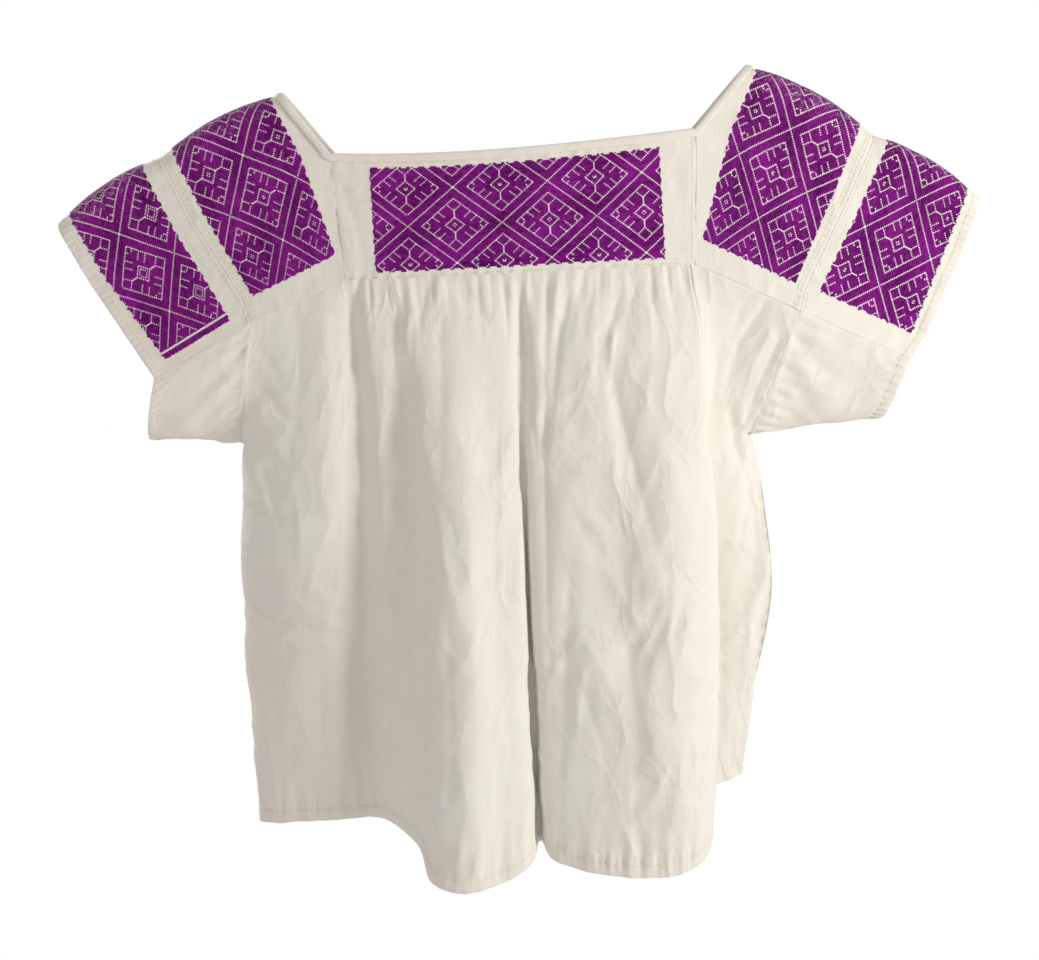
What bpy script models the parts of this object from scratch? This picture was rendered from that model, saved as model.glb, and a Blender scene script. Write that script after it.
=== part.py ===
"""A square-necked cotton blouse with embroidered yokes, shoulders and sleeves, hollow and hanging from
its shoulders.

Every panel is an open sheet drawn on a grid, bent to its place by a function of its column and row, and
given its wall by Solidify. The sizes below are millimetres: x to the viewer's right, y away from the
viewer, z up. Left and right are the viewer's. A place on the flat front view is called a chart point,
(x, z), with x outwards from the middle, and lift() gives it its depth.
"""

import math
from collections import namedtuple

import bmesh
import bpy
from mathutils import Vector, geometry

MM = 0.001
WELD = 0.01
COLLECTION = "blouse"

# Walls and the gaps between them. Two panels share a seam where their borders are under SEAM_SEARCH
# apart.
CLOTH = 1.2
DOUBLED_CLOTH = 1.5
HEM_CLOTH = 2.0
STITCHES = 0.8
TAPE = 1.0
LYING_GAP = 0.3
BINDING_GAP = 0.42
SEAM_GAP = 0.36
SEAM_SEARCH = 4.0

# Limits on how far a corner is drawn in: cosines between its two borders, and the tangent of half a
# seam's angle
STRAIGHT_CORNER = 0.8
SHARPEST_CORNER = -0.9
MOST_TURN = 1.2

# The fold over the shoulder: its radius, how steeply the cloth falls from it, how much flatter it is at
# the cuff and at the back, and how far the cloth stands up between the seams
RIDGE_RADIUS = 20.0
RIDGE_TURN = math.radians(80)
CUFF_FLATTENING = 0.25
BACK_FLATTENING = 0.1
RIDGE_BULGES = {"shoulder": 8.0, "sleeve": 7.0}
BULGE_REACH = 70.0

# The yoke's curve over the chest, the sag of its neck edge, and how much higher the right side hangs
# than the left
YOKE_BOW = 8.0
NECK_SAG = 6.0
HANG_RISE = 15.0
HANG_REACH = 200.0

# The neck's tape, and the plain margins above and below the yoke's embroidered field
BINDING_WIDTH = 5.5
YOKE_FIELD_TOP = 9.5
YOKE_FIELD_BOTTOM = 5.0

# Chart points of each seam line from the ridge of the shoulder down. "bend" is BEND_SHARE of the way
# from the ridge to the foot of the embroidered field, and on the neck line it is the corner of the
# square neck.
BEND_SHARE = 0.44
Line = namedtuple("Line", "ridge bend field_foot seam_foot")
SEAM_LINES = {
    "left": {
        "neck": Line((185, 0), (145, -50), (134.7, -128), (132, -148)),
        "shoulder_field_inner": Line((193, -3.8), (168, -50), (140, -129), (138, -150.3)),
        "shoulder_field_outer": Line((274, -41.8), (248, -92), (207, -159), (202, -175.3)),
        "armhole": Line((283, -46), (257, -96), (214, -163), (209, -178)),
        "sleeve_field_inner": Line((297, -54.5), (271, -104), (225, -177), (219, -183.5)),
        "sleeve_field_outer": Line((359, -92.3), (330, -141), (279, -208), (274, -214.1)),
        "cuff": Line((370, -99), (340, -148), (294, -214), (288.5, -222)),
    },
    "right": {
        "neck": Line((186, 0), (144, -49), (144, -134), (144, -154)),
        "shoulder_field_inner": Line((192.5, -3.5), (171, -52), (149, -136), (149, -156.3)),
        "shoulder_field_outer": Line((277, -49.5), (256, -101), (224, -173), (221, -189.8)),
        "armhole": Line((289, -56), (266, -107), (232, -177), (228, -193)),
        "sleeve_field_inner": Line((299, -61.8), (277, -111), (243, -180), (239, -198)),
        "sleeve_field_outer": Line((366, -100.6), (348, -146), (320, -215), (309, -229.5)),
        "cuff": Line((377, -107), (360, -152), (331, -217), (319, -234)),
    },
}

# Chart points of the underarm and of the lowest point of the cuff
UNDERARM = {"left": (225, -281), "right": (197, -297)}
CUFF_FOOT = {"left": (302, -275), "right": (304, -285)}
SIGN = {"left": -1, "right": 1}

# Half widths of the embroidered field of the yoke, at its top and at its foot
YOKE_FIELD = {"left": (115, 109), "right": (115, 121)}

# The side seams below the underarm: height, and the seam's x and y on each side
Side = namedtuple("Side", "z left_x left_y right_x right_y")
SIDE_SEAMS = (
    Side(-287, -225, 0, 197, 0),
    Side(-345, -228, 0, 208, -8),
    Side(-430, -226, 0, 217, -13),
    Side(-530, -224, 0, 202, -10),
    Side(-604, -222, 0, 197, -4),
)

# One row for each fold line of the body, from the left side seam to the right one: where it leaves the
# yoke seam, its place at the chest and at the hem, and the grid columns up to the next line. A gathered
# stretch has one gather for each two columns.
Fold = namedtuple("Fold", "name top_x chest_x chest_y hem_x hem_y hem_z columns gathered")
FRONT_FOLDS = (
    Fold("left side seam", -209, -227, 0, -222, 0, -610, 2, False),
    Fold("side turn", -204, -224, -18, -219, -15, -609, 2, False),
    Fold("side face", -192, -209, -34, -202, -27, -606, 2, False),
    Fold("side front", -172, -184, -47, -172, -35, -602, 2, False),
    Fold("left ridge", -152, -154, -55, -144, -38, -600, 3, False),
    Fold("left valley", -132, -125, -50, -120, -30, -602, 4, True),
    Fold("small ridge", -113, -104, -60, -100, -44, -604, 2, True),
    Fold("left flank", -100, -84, -66, -79, -67, -615, 4, True),
    Fold("left crest", -76, -65, -83, -66, -98, -634, 4, True),
    Fold("left crest middle", -52, -40, -88, -36, -112, -640, 4, True),
    Fold("left crest end", -28, -17, -81, -7, -101, -637, 4, True),
    Fold("middle valley wall", -8, -1, -68, 12, -76, -625, 2, True),
    Fold("middle valley", 4, 6, -57, 21, -54, -616, 2, True),
    Fold("middle valley far wall", 17, 15, -69, 31, -77, -624, 4, True),
    Fold("right crest", 42, 40, -84, 56, -98, -632, 6, True),
    Fold("right crest middle", 82, 82, -86, 96, -107, -637, 4, True),
    Fold("right crest end", 108, 118, -91, 134, -106, -637, 4, True),
    Fold("side fold edge", 134, 152, -80, 158, -88, -627, 4, True),
    Fold("side fold back", 144, 156, -62, 164, -60, -613, 3, False),
    Fold("side fold inside", 162, 144, -42, 150, -36, -602, 3, False),
    Fold("side face", 188, 158, -30, 166, -22, -597, 3, False),
    Fold("side turn", 214, 187, -21, 186, -14, -595, 2, False),
    Fold("right side seam", 228, 199, -8, 197, -4, -593, 0, False),
)
BACK_FOLDS = (
    Fold("left side seam", -209, -227, 0, -222, 0, -610, 2, False),
    Fold("side turn", -204, -225, 17, -220, 16, -610, 2, False),
    Fold("side face", -190, -212, 32, -205, 32, -611, 2, False),
    Fold("below the shoulder", -166, -186, 43, -176, 46, -613, 3, False),
    Fold("yoke corner", -132, -146, 52, -138, 62, -616, 6, True),
    Fold("left crest", -98, -106, 61, -96, 79, -619, 6, True),
    Fold("left valley", -62, -64, 56, -58, 62, -618, 6, True),
    Fold("middle crest", -24, -22, 66, -14, 86, -621, 6, True),
    Fold("middle valley", 16, 20, 58, 28, 64, -618, 6, True),
    Fold("right crest", 58, 62, 66, 70, 84, -619, 6, True),
    Fold("right valley", 98, 100, 58, 108, 63, -614, 6, True),
    Fold("yoke corner", 144, 138, 54, 146, 68, -610, 3, False),
    Fold("below the shoulder", 176, 164, 48, 172, 55, -604, 3, False),
    Fold("side face", 205, 184, 34, 193, 34, -599, 2, False),
    Fold("side turn", 218, 194, 14, 200, 12, -595, 2, False),
    Fold("right side seam", 228, 199, -8, 197, -4, -593, 0, False),
)
CHEST_SHARE = 0.32

# Columns over which the body turns to its side edges, and how far the back stands out past the right
# side seam
SIDE_REACH = 5
BACK_STRIP = 14.0

# Rows of the body's grid: shares of the armhole's height, then of the side seam's length, with the hem
# last. The underarm's rows are the armhole's. The first FINE_ROWS have twice the columns where the body
# is gathered.
ARMHOLE_ROWS = (0, 0.35, 0.65, 0.87, 0.97, 1)
SIDE_ROWS = (0, 0.1, 0.24, 0.4, 0.58, 0.78, 0.972, 1)
FINE_ROWS = 3

# The small gathers: their height, how unlike they are, how far down they reach and how high they are at
# the seam
GATHER_HEIGHT = 2.2
GATHER_UNEVENNESS = 0.4
GATHER_REACH = 0.14
GATHER_START = 0.5
GATHER_DRIFT = 2.3
GATHER_FULL_SHARE = 0.25

# Rows of the shoulder and sleeve tops, from the ridge to the foot of the field and the seam below it
FIELD_FOOT = 1
SEAM_FOOT = 2
FALL_ROWS = (0, 0.02, 0.07, 0.15, 0.28, BEND_SHARE, 0.62, 0.8, FIELD_FOOT, SEAM_FOOT)
FIELD_COLUMNS = 3
YOKE_ROWS = 4
YOKE_COLUMNS = 10
UNDERARM_COLUMNS = 4

Look = namedtuple("Look", "name colour roughness")
WHITE_COTTON = Look("cotton_cloth", (0.84, 0.82, 0.76), 0.85)
PURPLE_THREAD = Look("embroidery", (0.17, 0.01, 0.30), 0.6)
COTTON_TAPE = Look("neck_binding", (0.86, 0.84, 0.78), 0.85)

# place(column, row) is a point in space, before the blouse is hung. A panel's field is its embroidered
# stretch, as its first and last column and row, and its hem starts at a column or a row.
Shape = namedtuple("Shape", "place columns rows")
Panel = namedtuple("Panel", "bm wall field hem_row hem_column")


def mix(a, b, share):
    return a + (b - a) * share


def mix_points(a, b, share):
    return tuple(mix(p, q, share) for p, q in zip(a, b))


def at_place(stops, place):
    """The value of a list at a place between its whole numbers."""
    low = min(int(place), len(stops) - 2)
    return mix(stops[low], stops[low + 1], place - low)


def table_value(stops, values, at):
    """Smooth interpolation through a table's values, with the slopes of its neighbours at each stop."""
    last = len(stops) - 1
    span = max(i for i in range(last) if i == 0 or stops[i] <= at)
    width = stops[span + 1] - stops[span]
    share = (at - stops[span]) / width

    def slope(i):
        low, high = max(i - 1, 0), min(i + 1, last)
        return (values[high] - values[low]) / (stops[high] - stops[low])

    square, cube = share**2, share**3
    return (
        values[span] * (2 * cube - 3 * square + 1)
        + slope(span) * width * (cube - 2 * square + share)
        + values[span + 1] * (3 * square - 2 * cube)
        + slope(span + 1) * width * (cube - square)
    )


def ridge_place(x, z, side):
    """Which stretch of the shoulder's ridge a chart point hangs from, how far along it, how far below
    it, and the way up from it."""
    lines = SEAM_LINES[side]
    found = None
    for stretch, start, end in (("shoulder", "neck", "armhole"), ("sleeve", "armhole", "cuff")):
        foot, head = lines[start].ridge, lines[end].ridge
        run_x, run_z = head[0] - foot[0], head[1] - foot[1]
        length = math.hypot(run_x, run_z)
        share = ((x - foot[0]) * run_x + (z - foot[1]) * run_z) / length**2
        share = min(max(share, 0), 1)
        below = math.hypot(x - mix(foot[0], head[0], share), z - mix(foot[1], head[1], share))
        if found is None or below < found[2]:
            found = (stretch, share, below, (-run_z / length, run_x / length))
    return found


def fold_depth(below):
    """How far the cloth stands forward at a distance below the ridge: round at first, then a steep
    straight fall."""
    round_part = RIDGE_RADIUS * (1 - math.cos(RIDGE_TURN))
    if below < round_part:
        return math.sqrt(below * (2 * RIDGE_RADIUS - below))
    return RIDGE_RADIUS * math.sin(RIDGE_TURN) + (below - round_part) / math.tan(RIDGE_TURN)


def lift(point, side, face):
    """A chart point as a point in space, on the front (face -1) or the back (face 1) of the shoulder.
    """
    x, z = point
    stretch, share, below, up = ridge_place(x, z, side)
    neck, cuff = SEAM_LINES[side]["neck"].ridge[0], SEAM_LINES[side]["cuff"].ridge[0]
    outwards = min(max((x - neck) / (cuff - neck), 0), 1)
    flatter = 1 - CUFF_FLATTENING * outwards - BACK_FLATTENING * (face > 0)
    bulge = RIDGE_BULGES[stretch] * 4 * share * (1 - share) * max(0, 1 - below / BULGE_REACH) ** 2
    depth = fold_depth(below) * flatter
    return Vector((SIGN[side] * (x + up[0] * bulge), face * depth, z + up[1] * bulge))


def hang(point):
    """The blouse hangs a little to one side, so that its right shoulder is higher than its left."""
    return Vector((point.x, point.y, point.z + HANG_RISE * math.tanh(point.x / HANG_REACH)))


def along_line(line, fall):
    """The chart point on a seam line: fall is 0 at the ridge, 1 at the field's foot and 2 at the seam
    below it."""
    if fall > FIELD_FOOT:
        return mix_points(line.field_foot, line.seam_foot, (fall - FIELD_FOOT) / (SEAM_FOOT - FIELD_FOOT))
    if fall < BEND_SHARE:
        return mix_points(line.ridge, line.bend, fall / BEND_SHARE)
    return mix_points(line.bend, line.field_foot, (fall - BEND_SHARE) / (FIELD_FOOT - BEND_SHARE))


def top_shape(side, names):
    """A panel that goes over the shoulder, from its front seam to its back seam. names are its inner
    edge, the two edges of its embroidered field and its outer edge."""
    lines = [SEAM_LINES[side][name] for name in names]
    last = len(FALL_ROWS) - 1
    columns = 2 + FIELD_COLUMNS

    def place(column, row):
        from_ridge = row - last
        face = -1 if from_ridge < 0 else 1
        fall = at_place(FALL_ROWS, abs(from_ridge))
        inner, field_inner, field_outer, outer = (along_line(line, fall) for line in lines)
        if column <= 1:
            point = mix_points(inner, field_inner, column)
        elif column >= columns - 1:
            point = mix_points(outer, field_outer, columns - column)
        else:
            point = mix_points(field_inner, field_outer, (column - 1) / FIELD_COLUMNS)
        return lift(point, side, face)

    return Shape(place, columns, 2 * last)


def shoulder_shape(side):
    return top_shape(side, ("neck", "shoulder_field_inner", "shoulder_field_outer", "armhole"))


def sleeve_shape(side):
    return top_shape(side, ("armhole", "sleeve_field_inner", "sleeve_field_outer", "cuff"))


def neck_edge(side, down):
    """The chart point where the yoke meets the shoulder: down is 0 at the neck's corner and 1 at the
    seam below."""
    line = SEAM_LINES[side]["neck"]
    return mix_points(line.bend, line.seam_foot, down)


def yoke_point(x, down, face):
    """A point of the yoke: down is 0 at the neck edge and 1 at the gathered seam."""
    left, right = (lift(neck_edge(side, down), side, face) for side in ("left", "right"))
    share = (x - left.x) / (right.x - left.x)
    crown = 4 * share * (1 - share)
    point = left.lerp(right, share)
    return Vector((x, point.y + face * YOKE_BOW * crown, point.z - NECK_SAG * crown * (1 - down)))


def yoke_shape(face):
    """The front or back yoke, from its neck edge down to the gathered seam."""
    columns = YOKE_COLUMNS + 2
    height = neck_edge("left", 0)[1] - neck_edge("left", 1)[1]
    top, foot = YOKE_FIELD_TOP / height, 1 - YOKE_FIELD_BOTTOM / height
    downs = [0] + [mix(top, foot, i / YOKE_ROWS) for i in range(YOKE_ROWS + 1)] + [1]

    def place(column, row):
        down = at_place(downs, row)
        stops = []
        for side in ("left", "right"):
            field = mix(*YOKE_FIELD[side], down)
            stops += [SIGN[side] * neck_edge(side, down)[0], SIGN[side] * field]
        left, field_left, right, field_right = stops
        if column <= 1:
            x = mix(left, field_left, column)
        elif column >= columns - 1:
            x = mix(right, field_right, columns - column)
        else:
            x = mix(field_left, field_right, (column - 1) / YOKE_COLUMNS)
        return yoke_point(x, down, face)

    return Shape(place, columns, len(downs) - 1)


def top_seam(x, face):
    """The point of the body's top edge at x: below a shoulder, or below the yoke."""
    for side in SIGN:
        inner, outer = SEAM_LINES[side]["neck"].seam_foot, SEAM_LINES[side]["armhole"].seam_foot
        outwards = SIGN[side] * x
        if outwards > inner[0]:
            share = min(1, (outwards - inner[0]) / (outer[0] - inner[0]))
            return lift(mix_points(inner, outer, share), side, face)
    return yoke_point(x, 1, face)


def rounded_under(start, side, foot, share):
    """The curve from a point on the front or back of the sleeve round to its foot: share is 1 at the
    foot."""
    x, z = mix(start.x, SIGN[side] * foot[0], share), mix(start.z, foot[1], share)
    return Vector((x, start.y * math.sqrt(max(0, 1 - share**2)), z))


def armhole_point(side, face, share):
    """The lower half of the armhole seam: share is 0 at the shoulder's foot and 1 at the underarm."""
    start = lift(SEAM_LINES[side]["armhole"].seam_foot, side, face)
    return rounded_under(start, side, UNDERARM[side], share)


def underarm_shape(side):
    """The plain lower half of the sleeve: from the front seam round under the arm to the back seam."""
    half = len(ARMHOLE_ROWS) - 1
    head, corner = SEAM_LINES[side]["armhole"].seam_foot, SEAM_LINES[side]["cuff"].seam_foot

    def place(column, row):
        face = -1 if row < half else 1
        share = at_place(ARMHOLE_ROWS, half - abs(row - half))
        outwards = column / UNDERARM_COLUMNS
        if share == 0:
            return lift(mix_points(head, corner, outwards), side, face)
        cuff = rounded_under(lift(corner, side, face), side, CUFF_FOOT[side], share)
        return armhole_point(side, face, share).lerp(cuff, outwards)

    return Shape(place, UNDERARM_COLUMNS, 2 * half)


def side_seam_point(side, z):
    heights = [-row.z for row in SIDE_SEAMS]

    def at_height(axis):
        return table_value(heights, [getattr(row, f"{side}_{axis}") for row in SIDE_SEAMS], -z)

    return Vector((at_height("x"), at_height("y"), z))


def chest_blend(top, chest, hem, down):
    """The parabola through a fold line's places at the seam, the chest and the hem."""
    at_top = (down - CHEST_SHARE) * (down - 1) / CHEST_SHARE
    at_chest = down * (1 - down) / (CHEST_SHARE * (1 - CHEST_SHARE))
    at_hem = down * (down - CHEST_SHARE) / (1 - CHEST_SHARE)
    return top * at_top + chest * at_chest + hem * at_hem


def gather(column, down):
    """How far the small gathers stand out below the yoke's seam: each takes two columns, and no two are
    alike."""
    uneven = 1 + GATHER_UNEVENNESS * math.sin(GATHER_DRIFT * (column // 2))
    reach = GATHER_REACH * uneven
    if down > reach:
        return 0
    start = mix(GATHER_START, 1, min(1, down / (reach * GATHER_FULL_SHARE)))
    return GATHER_HEIGHT * uneven * start * (1 - down / reach) * math.sin(math.pi * column)


def fold_stops(folds):
    """The grid column of each fold line."""
    stops = [0]
    for fold in folds[:-1]:
        stops.append(stops[-1] + fold.columns)
    return stops


def gathered_columns(folds):
    """The first and the last column of the gathered stretch."""
    stops = fold_stops(folds)
    gathered = [i for i, fold in enumerate(folds) if fold.gathered]
    return stops[gathered[0]], stops[gathered[-1] + 1]


def body_shape(folds, face):
    """The front or back of the body, gathered to the yoke and hanging in folds to the hem."""
    stops = fold_stops(folds)
    columns = stops[-1]
    first_gather, last_gather = gathered_columns(folds)
    armhole_rows, side_rows = len(ARMHOLE_ROWS) - 1, len(SIDE_ROWS) - 1

    def column_value(name, column):
        return table_value(stops, [getattr(fold, name) for fold in folds], column)

    def underarm_share(column):
        """How far down the underarm is on the way from the top seam to the hem."""
        ends = []
        for side, fold in (("left", folds[0]), ("right", folds[-1])):
            head = SEAM_LINES[side]["armhole"].seam_foot[1]
            ends.append((head - UNDERARM[side][1]) / (head - fold.hem_z))
        return mix(*ends, column / columns)

    def row_share(column, row):
        under = underarm_share(column)
        if row <= armhole_rows:
            return under * at_place(ARMHOLE_ROWS, row)
        return mix(under, 1, at_place(SIDE_ROWS, row - armhole_rows))

    def hanging_point(column, down):
        """The sheet as the fold table gives it, before its side edges are drawn to their seams."""
        top = top_seam(column_value("top_x", column), face)
        x = chest_blend(top.x, column_value("chest_x", column), column_value("hem_x", column), down)
        y = chest_blend(top.y, column_value("chest_y", column), column_value("hem_y", column), down)
        return Vector((x, y, mix(top.z, column_value("hem_z", column), down)))

    def edge_shift(side, down):
        """From the sheet's own edge to the armhole seam or, below the underarm, to the side seam."""
        column = 0 if side == "left" else columns
        under = underarm_share(column)
        own = hanging_point(column, down)
        if down <= under:
            return armhole_point(side, face, down / under) - own
        return side_seam_point(side, own.z) - own

    def place(column, row):
        down = row_share(column, row)
        point = hanging_point(column, down)
        for side, inwards in (("left", column), ("right", columns - column)):
            if inwards < SIDE_REACH:
                point += edge_shift(side, down) * (1 - inwards / SIDE_REACH) ** 2
        inwards, under = columns - column, underarm_share(column)
        if face > 0 and down > under and inwards < SIDE_REACH:
            along = math.sin(math.pi * (down - under) / (1 - under))
            point.x += BACK_STRIP * along * math.sin(math.pi * inwards / SIDE_REACH)
        if first_gather < column < last_gather:
            point.y += face * gather(column - first_gather, down)
        return point

    return Shape(place, columns, armhole_rows + side_rows)


def bend_grid(shape, faces_back, fine=None):
    """A grid bent to its shape, in millimetres, with each vertex's column and row kept in layers of its
    own. The columns between the two in fine are halved in the top rows."""
    bm = bmesh.new()
    bmesh.ops.create_grid(bm, x_segments=shape.columns, y_segments=shape.rows, size=0.5)
    for vert in bm.verts:
        column, row = (vert.co.x + 0.5) * shape.columns, (0.5 - vert.co.y) * shape.rows
        vert.co = Vector((round(column), round(row), 0))
    if fine:
        bmesh.ops.subdivide_edges(bm, edges=[edge for edge in bm.edges if is_fine(edge, fine)], cuts=1)
    column_layer = bm.verts.layers.float.new("column")
    row_layer = bm.verts.layers.float.new("row")
    for vert in bm.verts:
        vert[column_layer], vert[row_layer] = vert.co.x, vert.co.y
        vert.co = hang(shape.place(vert.co.x, vert.co.y))
    if faces_back:
        bmesh.ops.reverse_faces(bm, faces=bm.faces[:])
    bm.normal_update()
    return bm


def is_fine(edge, fine):
    """Whether an edge of the flat grid runs across the gathers in one of the top rows."""
    one, other = (vert.co for vert in edge.verts)
    across = one.y == other.y and one.y <= FINE_ROWS
    return across and min(one.x, other.x) >= fine[0] and max(one.x, other.x) <= fine[1]


def borders(bm):
    """Each border edge of a sheet, with its middle and the direction from it into the sheet."""
    found = {}
    for edge in bm.edges:
        if edge.is_boundary:
            one, other = (vert.co for vert in edge.verts)
            face = edge.link_faces[0]
            middle = (one + other) / 2
            inwards = face.normal.cross(other - one).normalized()
            if inwards.dot(face.calc_center_median() - middle) < 0:
                inwards.negate()
            found[edge] = (middle, inwards)
    return found


def distance_to_edge(point, edge):
    one, other = (vert.co for vert in edge.verts)
    share = geometry.intersect_point_line(point, one, other)[1]
    return (one.lerp(other, min(max(share, 0), 1)) - point).length


def seam_inset(middle, inwards, wall, neighbours):
    """How far a border edge is drawn in: half the seam's gap, and what the two walls need where they
    meet at an angle. A free edge stays where it is."""
    near = [
        (distance_to_edge(middle, edge), other_inwards, other_wall)
        for edge, other_middle, other_inwards, other_wall in neighbours
        if (other_middle - middle).length < SEAM_SEARCH + edge.calc_length() / 2
    ]
    if not near:
        return 0
    distance, other_inwards, other_wall = min(near, key=lambda found: found[0])
    if distance > SEAM_SEARCH:
        return 0
    turn = (inwards + other_inwards).length / (inwards - other_inwards).length
    return SEAM_GAP / 2 + min(turn, MOST_TURN) * max(wall, other_wall) / 2


def corner_move(first, second):
    """The move that takes a corner in from its two border edges, each (direction inwards, inset)."""
    (one, inset), (other, other_inset) = first, second
    agree = one.dot(other)
    if agree > STRAIGHT_CORNER:
        return (one + other).normalized() * max(inset, other_inset)
    agree = max(agree, SHARPEST_CORNER)
    share = 1 - agree**2
    return one * (inset - agree * other_inset) / share + other * (other_inset - agree * inset) / share


def draw_in_seams(panels):
    """Draws the panels in from the seams that they share."""
    edges = {name: borders(panel.bm) for name, panel in panels.items()}
    moves = {}
    for name, panel in panels.items():
        neighbours = [
            (edge, middle, inwards, panels[other].wall)
            for other in panels
            if other != name
            for edge, (middle, inwards) in edges[other].items()
        ]
        drawn = {
            edge: (inwards, seam_inset(middle, inwards, panel.wall, neighbours))
            for edge, (middle, inwards) in edges[name].items()
        }
        for vert in panel.bm.verts:
            own = [drawn[edge] for edge in vert.link_edges if edge in drawn]
            if own:
                moves[vert] = corner_move(*own)
    for vert, move in moves.items():
        vert.co += move


def material_of(look):
    material = bpy.data.materials.get(look.name)
    if material is None:
        material = bpy.data.materials.new(look.name)
        material.use_nodes = True
        shader = material.node_tree.nodes["Principled BSDF"]
        shader.inputs["Base Color"].default_value = (*look.colour, 1)
        shader.inputs["Roughness"].default_value = look.roughness
        shader.inputs["Metallic"].default_value = 0
    return material


def finish_sheet(name, bm, look, thickness):
    """Makes the object of a sheet, in metres, and gives it its wall."""
    bmesh.ops.scale(bm, vec=(MM, MM, MM), verts=bm.verts[:])
    mesh = bpy.data.meshes.new(name)
    bm.to_mesh(mesh)
    bm.free()
    mesh.shade_smooth()
    mesh.materials.append(material_of(look))
    obj = bpy.data.objects.new(name, mesh)
    bpy.data.collections[COLLECTION].objects.link(obj)
    wall = obj.modifiers.new("wall", "SOLIDIFY")
    wall.thickness = thickness * MM
    wall.offset = 0
    return obj


def finish_panel(name, panel):
    """Makes the object of a panel, thicker at its turned hem."""
    hem = hem_verts(panel)
    obj = finish_sheet(name, panel.bm, WHITE_COTTON, panel.wall)
    if hem:
        obj.vertex_groups.new(name="hem").add(hem, 1, "REPLACE")
        wall = obj.modifiers["wall"]
        wall.thickness = HEM_CLOTH * MM
        wall.vertex_group = "hem"
        wall.thickness_vertex_group = panel.wall / HEM_CLOTH


def hem_verts(panel):
    """The indices of the vertices in the turned hem of a panel."""
    column_layer = panel.bm.verts.layers.float["column"]
    row_layer = panel.bm.verts.layers.float["row"]
    panel.bm.verts.index_update()
    return [
        vert.index
        for vert in panel.bm.verts
        if vert[row_layer] >= panel.hem_row or vert[column_layer] >= panel.hem_column
    ]


def lay_embroidery(name, panel):
    """The embroidered field of a panel: the panel's own points, moved out from it."""
    first_column, last_column, first_row, last_row = panel.field
    bm = panel.bm.copy()
    column_layer = bm.verts.layers.float["column"]
    row_layer = bm.verts.layers.float["row"]
    bm.normal_update()
    height = panel.wall / 2 + LYING_GAP + STITCHES / 2
    moves = [(vert, vert.normal * height) for vert in bm.verts]
    outside = []
    for vert, move in moves:
        vert.co += move
        in_columns = first_column <= vert[column_layer] <= last_column
        if not (in_columns and first_row <= vert[row_layer] <= last_row):
            outside.append(vert)
    bmesh.ops.delete(bm, geom=outside, context="VERTS")
    finish_sheet(f"{name}_embroidery", bm, PURPLE_THREAD, STITCHES)


def whole_field(shape):
    """The embroidered field of a panel that has one plain column or row on every side."""
    return (1, shape.columns - 1, 1, shape.rows - 1)


def make_panels():
    """Every cut piece of cloth as a bent grid, before it has its wall."""
    panels = {}
    none = math.inf
    for name, folds, face in (("front_body", FRONT_FOLDS, -1), ("back_body", BACK_FOLDS, 1)):
        shape = body_shape(folds, face)
        bm = bend_grid(shape, face > 0, gathered_columns(folds))
        panels[name] = Panel(bm, CLOTH, None, shape.rows - 1, none)
    for name, face in (("front_yoke", -1), ("back_yoke", 1)):
        shape = yoke_shape(face)
        panels[name] = Panel(bend_grid(shape, face > 0), DOUBLED_CLOTH, whole_field(shape), none, none)
    for side in SIGN:
        shape = shoulder_shape(side)
        bm = bend_grid(shape, side == "right")
        panels[f"{side}_shoulder"] = Panel(bm, DOUBLED_CLOTH, whole_field(shape), none, none)
        shape = sleeve_shape(side)
        bm = bend_grid(shape, side == "right")
        panels[f"{side}_sleeve"] = Panel(bm, DOUBLED_CLOTH, whole_field(shape), none, shape.columns)
        shape = underarm_shape(side)
        bm = bend_grid(shape, side == "left")
        panels[f"{side}_underarm"] = Panel(bm, CLOTH, None, none, shape.columns - 1)
    return panels


def neckline():
    """The neck's edge all round, as (edge point, a point from it into the cloth) for each station."""
    ridge = len(FALL_ROWS) - 1
    corner = FALL_ROWS.index(BEND_SHARE)
    front_corner, back_corner = ridge - corner, ridge + corner
    stations = []

    def add_yoke(face, towards):
        shape = yoke_shape(face)
        for column in list(range(1, shape.columns))[::towards]:
            stations.append((shape.place(column, 0), shape.place(column, 1)))

    def add_shoulder(side, towards):
        shape = shoulder_shape(side)
        away = {front_corner: -1, back_corner: 1}
        for row in list(range(front_corner, back_corner + 1))[::towards]:
            stations.append((shape.place(0, row), shape.place(1, row + away.get(row, 0))))

    add_yoke(-1, 1)
    add_shoulder("right", 1)
    add_yoke(1, -1)
    add_shoulder("left", -1)
    return [(hang(edge), hang(inside)) for edge, inside in stations]


def binding_section(before, station, after):
    """The tape's section at a station of the neckline: inner foot, inner turn, outer turn, outer foot.
    """
    edge, inside = station
    ahead = (after[0] - edge).normalized()
    along = ((edge - before[0]).normalized() + ahead).normalized()
    into = (inside - edge).normalized()
    into = into / ((into - along * into.dot(along)).length * along.dot(ahead))
    out = along.cross(into).normalized() * (DOUBLED_CLOTH / 2 + BINDING_GAP + TAPE / 2)
    foot, turn = edge + into * BINDING_WIDTH, edge - into * (BINDING_GAP + TAPE / 2)
    return foot - out, turn - out, turn + out, foot + out


def make_binding():
    """The narrow tape folded over the neck's edge, as a closed ring."""
    stations = neckline()
    count = len(stations)
    sections = [
        binding_section(stations[i - 1], stations[i], stations[(i + 1) % count]) for i in range(count)
    ]
    across = len(sections[0]) - 1
    bm = bmesh.new()
    bmesh.ops.create_grid(bm, x_segments=across, y_segments=count, size=0.5)
    for vert in bm.verts:
        column, row = round((vert.co.x + 0.5) * across), round((0.5 - vert.co.y) * count)
        vert.co = sections[row % count][column]
    bmesh.ops.remove_doubles(bm, verts=bm.verts[:], dist=WELD)
    obj = finish_sheet("neck_binding", bm, COTTON_TAPE, TAPE)
    obj.modifiers["wall"].use_even_offset = True


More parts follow.
